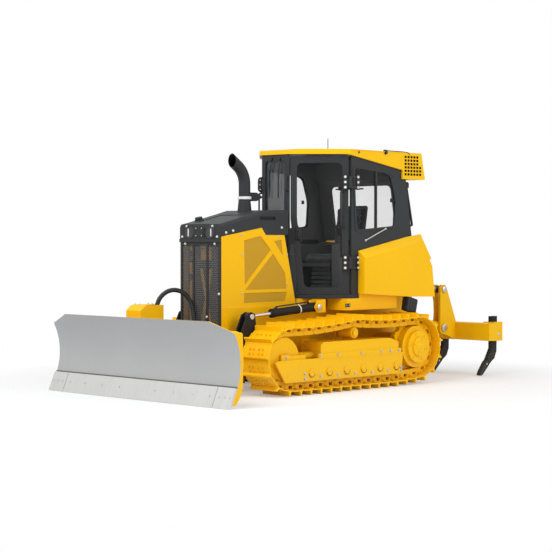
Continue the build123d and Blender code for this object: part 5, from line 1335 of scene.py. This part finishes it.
def make_ripper_fittings():
    """Pin heads on the side plates and shank boxes, inner plates of the towers, and the shank tips."""
    eye_x, eye_z = RIPPER_EYE.x, RIPPER_EYE.z
    pins = Stock().disc((eye_x, 0.376, eye_z), Y, 0.040, 0.014, 0.006, inset=0.008)
    for y in SHANK_YS[1:]:
        for out in (Y, -Y):
            pins.disc((-2.515, y + out.y * 0.085, 0.500), out, 0.024, 0.009, 0.003, 16, 0.006)
    pins.done("ripper_pins", "zinc", "ripper_frame", both=True)
    tower = [(-1.985, 0.620), (-2.000, 0.760), (-1.995, 0.880), (-1.975, 0.980), (-1.975, 1.065),
             (-2.000, 1.105), (-2.070, 1.105), (-2.105, 1.050), (-2.275, 0.660), (-2.275, 0.430),
             (-2.100, 0.490), (-2.010, 0.510)]
    inner = Stock().plate(tower, 0.013, plane((0, 0.243, 0), X, Z))
    inner.disc((eye_x, 0.248, eye_z), Y, 0.034, 0.014)
    inner.disc((eye_x, 0.239, eye_z), -Y, 0.034, 0.012)
    inner.done("ripper_inner_plates", "yellow", "ripper_frame", both=True)
    caps = Stock().disc((eye_x, 0.379, RIPPER_PIVOT_Z), Y, 0.048, 0.012, 0.004, inset=0.010)
    caps.done("ripper_pivot_caps", "zinc", "chassis", both=True)
    tip = [(-2.255, 0.062), (-2.232, 0.016), (-2.240, 0.006), (-2.266, 0.006), (-2.335, 0.060),
           (-2.392, 0.150), (-2.352, 0.178)]
    keeper = [(0, 0), (0.011, 0), (0.011, 0.004), (0, 0.006)]
    tips, keepers = Stock(), Stock()
    for y in SHANK_YS:
        tips.plate(tip, 0.066, plane((0, y, 0), X, Z), bevel=0.006)
        for out in (Y, -Y):
            keepers.turned(keeper, (-2.360, y + out.y * 0.032, 0.142), out, 12)
    tips.done("ripper_tips", "black", "ripper_frame")
    keepers.done("tip_keepers", "zinc", "ripper_frame")


# Hose

def hose_line():
    """Points along the hose, read from the smooth spline that its route gives."""
    curve = bpy.data.curves.new("hose_line", "CURVE")
    curve.dimensions = "3D"
    curve.resolution_u = 10
    spline = add_spline(curve, "NURBS", HOSE_POINTS)
    spline.order_u = 3
    spline.use_endpoint_u = True
    obj = temporary("hose_line", curve)
    line = evaluated_mesh(obj)
    points = [v.co.copy() for v in line.vertices]
    bpy.data.meshes.remove(line)
    drop(obj)
    return points


def make_hose():
    """The ribbed hose from the hull's front to the guard box, with a fitting at its foot."""
    rib, groove, sides = 0.025, 0.0238, 20
    points = hose_line()
    part = bmesh.new()
    rings = []
    across = Y.copy()
    for i, here in enumerate(points):
        ahead = (points[min(i + 1, len(points) - 1)] - points[max(i - 1, 0)]).normalized()
        across = (across - ahead * across.dot(ahead)).normalized()
        other = ahead.cross(across)
        ring = circle((0, 0), rib if i % 2 else groove, sides)
        rings.append([part.verts.new(here + across * u + other * v) for u, v in ring])
    bridge(part, rings)
    part.faces.new(list(reversed(rings[0])))
    part.faces.new(rings[-1])
    tube = temporary("blade_hose", Stock().take(part).plain("blade_hose"))
    coated(tube, "hose")
    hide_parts("hose")
    collar = Stock().turned([(0.020, 0), (0.034, 0), (0.034, 0.022), (0.029, 0.028), (0.029, 0.070),
                             (0.026, 0.075), (0.020, 0.075), (0.020, 0)], HOSE_POINTS[0], Z)
    foot = collar.done("hose_fitting", "zinc", "chassis")
    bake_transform(tube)


# Stage

def make_floor():
    """A round paper floor that glows to white far from the machine."""
    mesh = bmesh.new()
    mesh.faces.new([mesh.verts.new((u, v, -0.001)) for u, v in circle((0, 0), 60.0, 64)])
    data = bpy.data.meshes.new("studio_floor")
    mesh.to_mesh(data)
    mesh.free()
    floor = temporary("studio_floor", data)
    finish = Finish("studio paper")
    tone = linear(bpy.context.scene.dozer_stage.floor)
    finish.link("Base Color", finish.blend(finish.noise(3.0), scaled(tone, 0.985), tone))
    finish.set("Roughness", 0.9)
    finish.set("Specular IOR Level", 0.1)
    reach = (finish.x * finish.x + finish.y * finish.y) ** 0.5
    far = ((reach - 2.4) * 0.35 + 0.3).most(0.3).least(1.0)
    seen = finish.node("ShaderNodeLightPath", output="Is Camera Ray")
    glow = finish.node("ShaderNodeEmission", {"Color": (1, 1, 1, 1), "Strength": 1.0})
    paper = Value(finish.tree, finish.shader.outputs[0])
    mixed = finish.node("ShaderNodeMixShader", {0: far * seen, 1: paper, 2: glow})
    finish.tree.links.new(mixed.socket, finish.end.inputs[0])
    floor.data.materials.append(finish.material)


def make_world():
    """White surroundings, dimmer as a light than as they are seen or mirrored."""
    world = bpy.data.worlds.new("studio")
    bpy.context.scene.world = world
    world.use_nodes = True
    tree = world.node_tree
    tree.nodes.clear()
    end = tree.nodes.new("ShaderNodeOutputWorld")
    mix = tree.nodes.new("ShaderNodeMixShader")
    for place, tone, strength in ((1, (0.96, 0.98, 1.0, 1), 0.55), (2, (1, 1, 1, 1), 1.0)):
        light = tree.nodes.new("ShaderNodeBackground")
        light.inputs["Color"].default_value = tone
        light.inputs["Strength"].default_value = strength
        tree.links.new(light.outputs[0], mix.inputs[place])
    ray = tree.nodes.new("ShaderNodeLightPath")
    seen = Value(tree, ray.outputs["Is Camera Ray"])
    for name in ("Is Glossy Ray", "Is Transmission Ray"):
        seen = seen.most(Value(tree, ray.outputs[name]))
    tree.links.new(seen.socket, mix.inputs[0])
    tree.links.new(mix.outputs[0], end.inputs[0])


def make_stage():
    """Floor, soft lamps, white surroundings and the camera."""
    settings = bpy.context.scene.dozer_stage
    make_floor()
    make_world()
    for name, place, power in (("key lamp", (7.5, 1.0, 8.0), 640.0), ("side lamp", (-2.0, 9.0, 6.0), 330.0)):
        lamp = bpy.data.lights.new(name, "AREA")
        lamp.shape = "SQUARE"
        lamp.size = settings.softness
        lamp.energy = power
        obj = temporary(name, lamp)
        obj.matrix_world = Matrix.Translation(place) @ facing(Vector(place) - Z)
    camera = bpy.data.cameras.new("photo camera")
    camera.lens = settings.lens
    camera.sensor_width = 36.0
    camera.clip_end = 200.0
    obj = temporary("photo camera", camera)
    dip = math.radians(CAMERA_DIP)
    look = Vector((*(v * math.cos(dip) for v in CAMERA_HEADING), -math.sin(dip)))
    obj.matrix_world = Matrix.Translation(CAMERA_PLACE) @ look.to_track_quat("-Z", "Y").to_matrix().to_4x4()
    bpy.context.scene.camera = obj
    bpy.context.scene.view_settings.view_transform = "Standard"


NODE_FINISHES = {
    "tank": ("tanks",),
    "hood": ("hood",),
    "yellow": ("main_frame", "lift_brackets", "ripper_mount", "ripper_frame", "track_frames",
               "idlers", "sprockets", "rollers", "track_left", "track_right", "hose_guard"),
    "cab": ("cab_floor", "cab_front", "cab_sides", "cab_rear", "door_left", "door_right"),
    "dark": ("nose_panel", "grille", "handrails", "blade_yoke", "engine_block"),
    "inside": ("lift_barrels", "angle_barrel_left", "angle_barrel_right", "tilt_barrel",
               "ripper_barrels", "ripper_shanks"),
    "roof": ("cab_roof",),
    "stack": ("exhaust",),
    "core": ("radiator",),
    "panels": ("side_panels",),
    "arms": ("c_frame",),
    "blade": ("moldboard",),
    "edge": ("cutting_edge",),
    "chrome": ("lift_rods", "angle_rod_left", "angle_rod_right", "tilt_rod", "ripper_rods"),
    "glass": ("cab_glass", "door_glass_left", "door_glass_right"),
    "lens": ("head_lamps",),
    "trim": ("console",),
    "cloth": ("seat",),
    "hose": ("hose",),
}


def paint_nodes():
    """Gives every solid of the frame its finish."""
    for finish, names in NODE_FINISHES.items():
        for name in names:
            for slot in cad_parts[name].material_slots:
                slot.link = "OBJECT"
                slot.material = finishes()[finish][1]


# Operators, one for each piece or group of like pieces

def maker(idname, label, text, work):
    """An operator class that runs one builder."""

    def execute(self, context):
        work()
        return {"FINISHED"}

    return type("DOZER_OT_" + idname, (bpy.types.Operator,), {
        "bl_idname": "dozer." + idname, "bl_label": label, "__doc__": text, "execute": execute,
    })


STEPS = [
    ("stage", "Stage", "Floor, lamps and the camera at the photo's angle", make_stage),
    ("hose", "Blade hose", "The hose between the hull and the guard box", make_hose),
    ("paint", "Paint", "Finishes on all solids of the frame", paint_nodes),
    ("tracks", "Track chains", "Links, shoes and shoe bolts of both tracks", make_tracks),
    ("undercarriage", "Undercarriage", "Caps of rollers and final drives, and bolts", make_undercarriage),
    ("front_screen", "Front screen", "Grille frame and its perforated screens", make_front_screen),
    ("engine_bay", "Engine bay", "Lamp rims, nose plate, filler cap and bolts", make_engine_bay),
    ("doors", "Doors", "Handles, grab bars and hinge bolts", make_doors),
    ("cab", "Cab fittings", "Window seals, rails, struts and wipers", make_cab_fittings),
    ("cab_rear", "Cab rear", "Rear lamps, wiper, roof lid and panel", make_cab_rear),
    ("tanks", "Tank fittings", "Top rims, step boxes and tread plates", make_tank_fittings),
    ("seat", "Seat", "Padded cushions on the seat frame", make_seat),
    ("controls", "Controls", "Levers, armrests, display and pedals", make_controls),
    ("blade", "Blade fittings", "Edge bolts and joints, skids, pins and guard cover", make_blade_fittings),
    ("cylinders", "Cylinder fittings", "Pipes and clamps on the barrels", make_cylinder_fittings),
    ("ripper", "Ripper fittings", "Pins, inner plates and shank tips", make_ripper_fittings),
]
OPERATORS = [maker(*step) for step in STEPS]
GROUPS = (("dozer_paint", PaintSettings), ("dozer_track", TrackSettings), ("dozer_fitting", FittingSettings),
          ("dozer_stage", StageSettings))


class DOZER_PT_panel(bpy.types.Panel):
    """Lists the dressing steps and their sizes"""
    bl_idname = "DOZER_PT_panel"
    bl_label = "Bulldozer"
    bl_space_type = "VIEW_3D"
    bl_region_type = "UI"
    bl_category = "Bulldozer"

    def draw(self, context):
        for idname, label, text, work in STEPS:
            self.layout.operator("dozer." + idname, text=label)
        for group, kind in GROUPS:
            box = self.layout.box()
            settings = getattr(context.scene, group)
            for name in settings.bl_rna.properties.keys():
                if name not in ("rna_type", "name"):
                    box.prop(settings, name)


def register():
    for name, group in GROUPS:
        bpy.utils.register_class(group)
        setattr(bpy.types.Scene, name, PointerProperty(type=group))
    for cls in (*OPERATORS, DOZER_PT_panel):
        bpy.utils.register_class(cls)


def unregister():
    for cls in reversed((*OPERATORS, DOZER_PT_panel)):
        bpy.utils.unregister_class(cls)
    for name, group in reversed(GROUPS):
        delattr(bpy.types.Scene, name)
        bpy.utils.unregister_class(group)


def main():
    register()
    for idname, label, text, work in STEPS:
        getattr(bpy.ops.dozer, idname)()


if __name__ == "__main__":
    main()
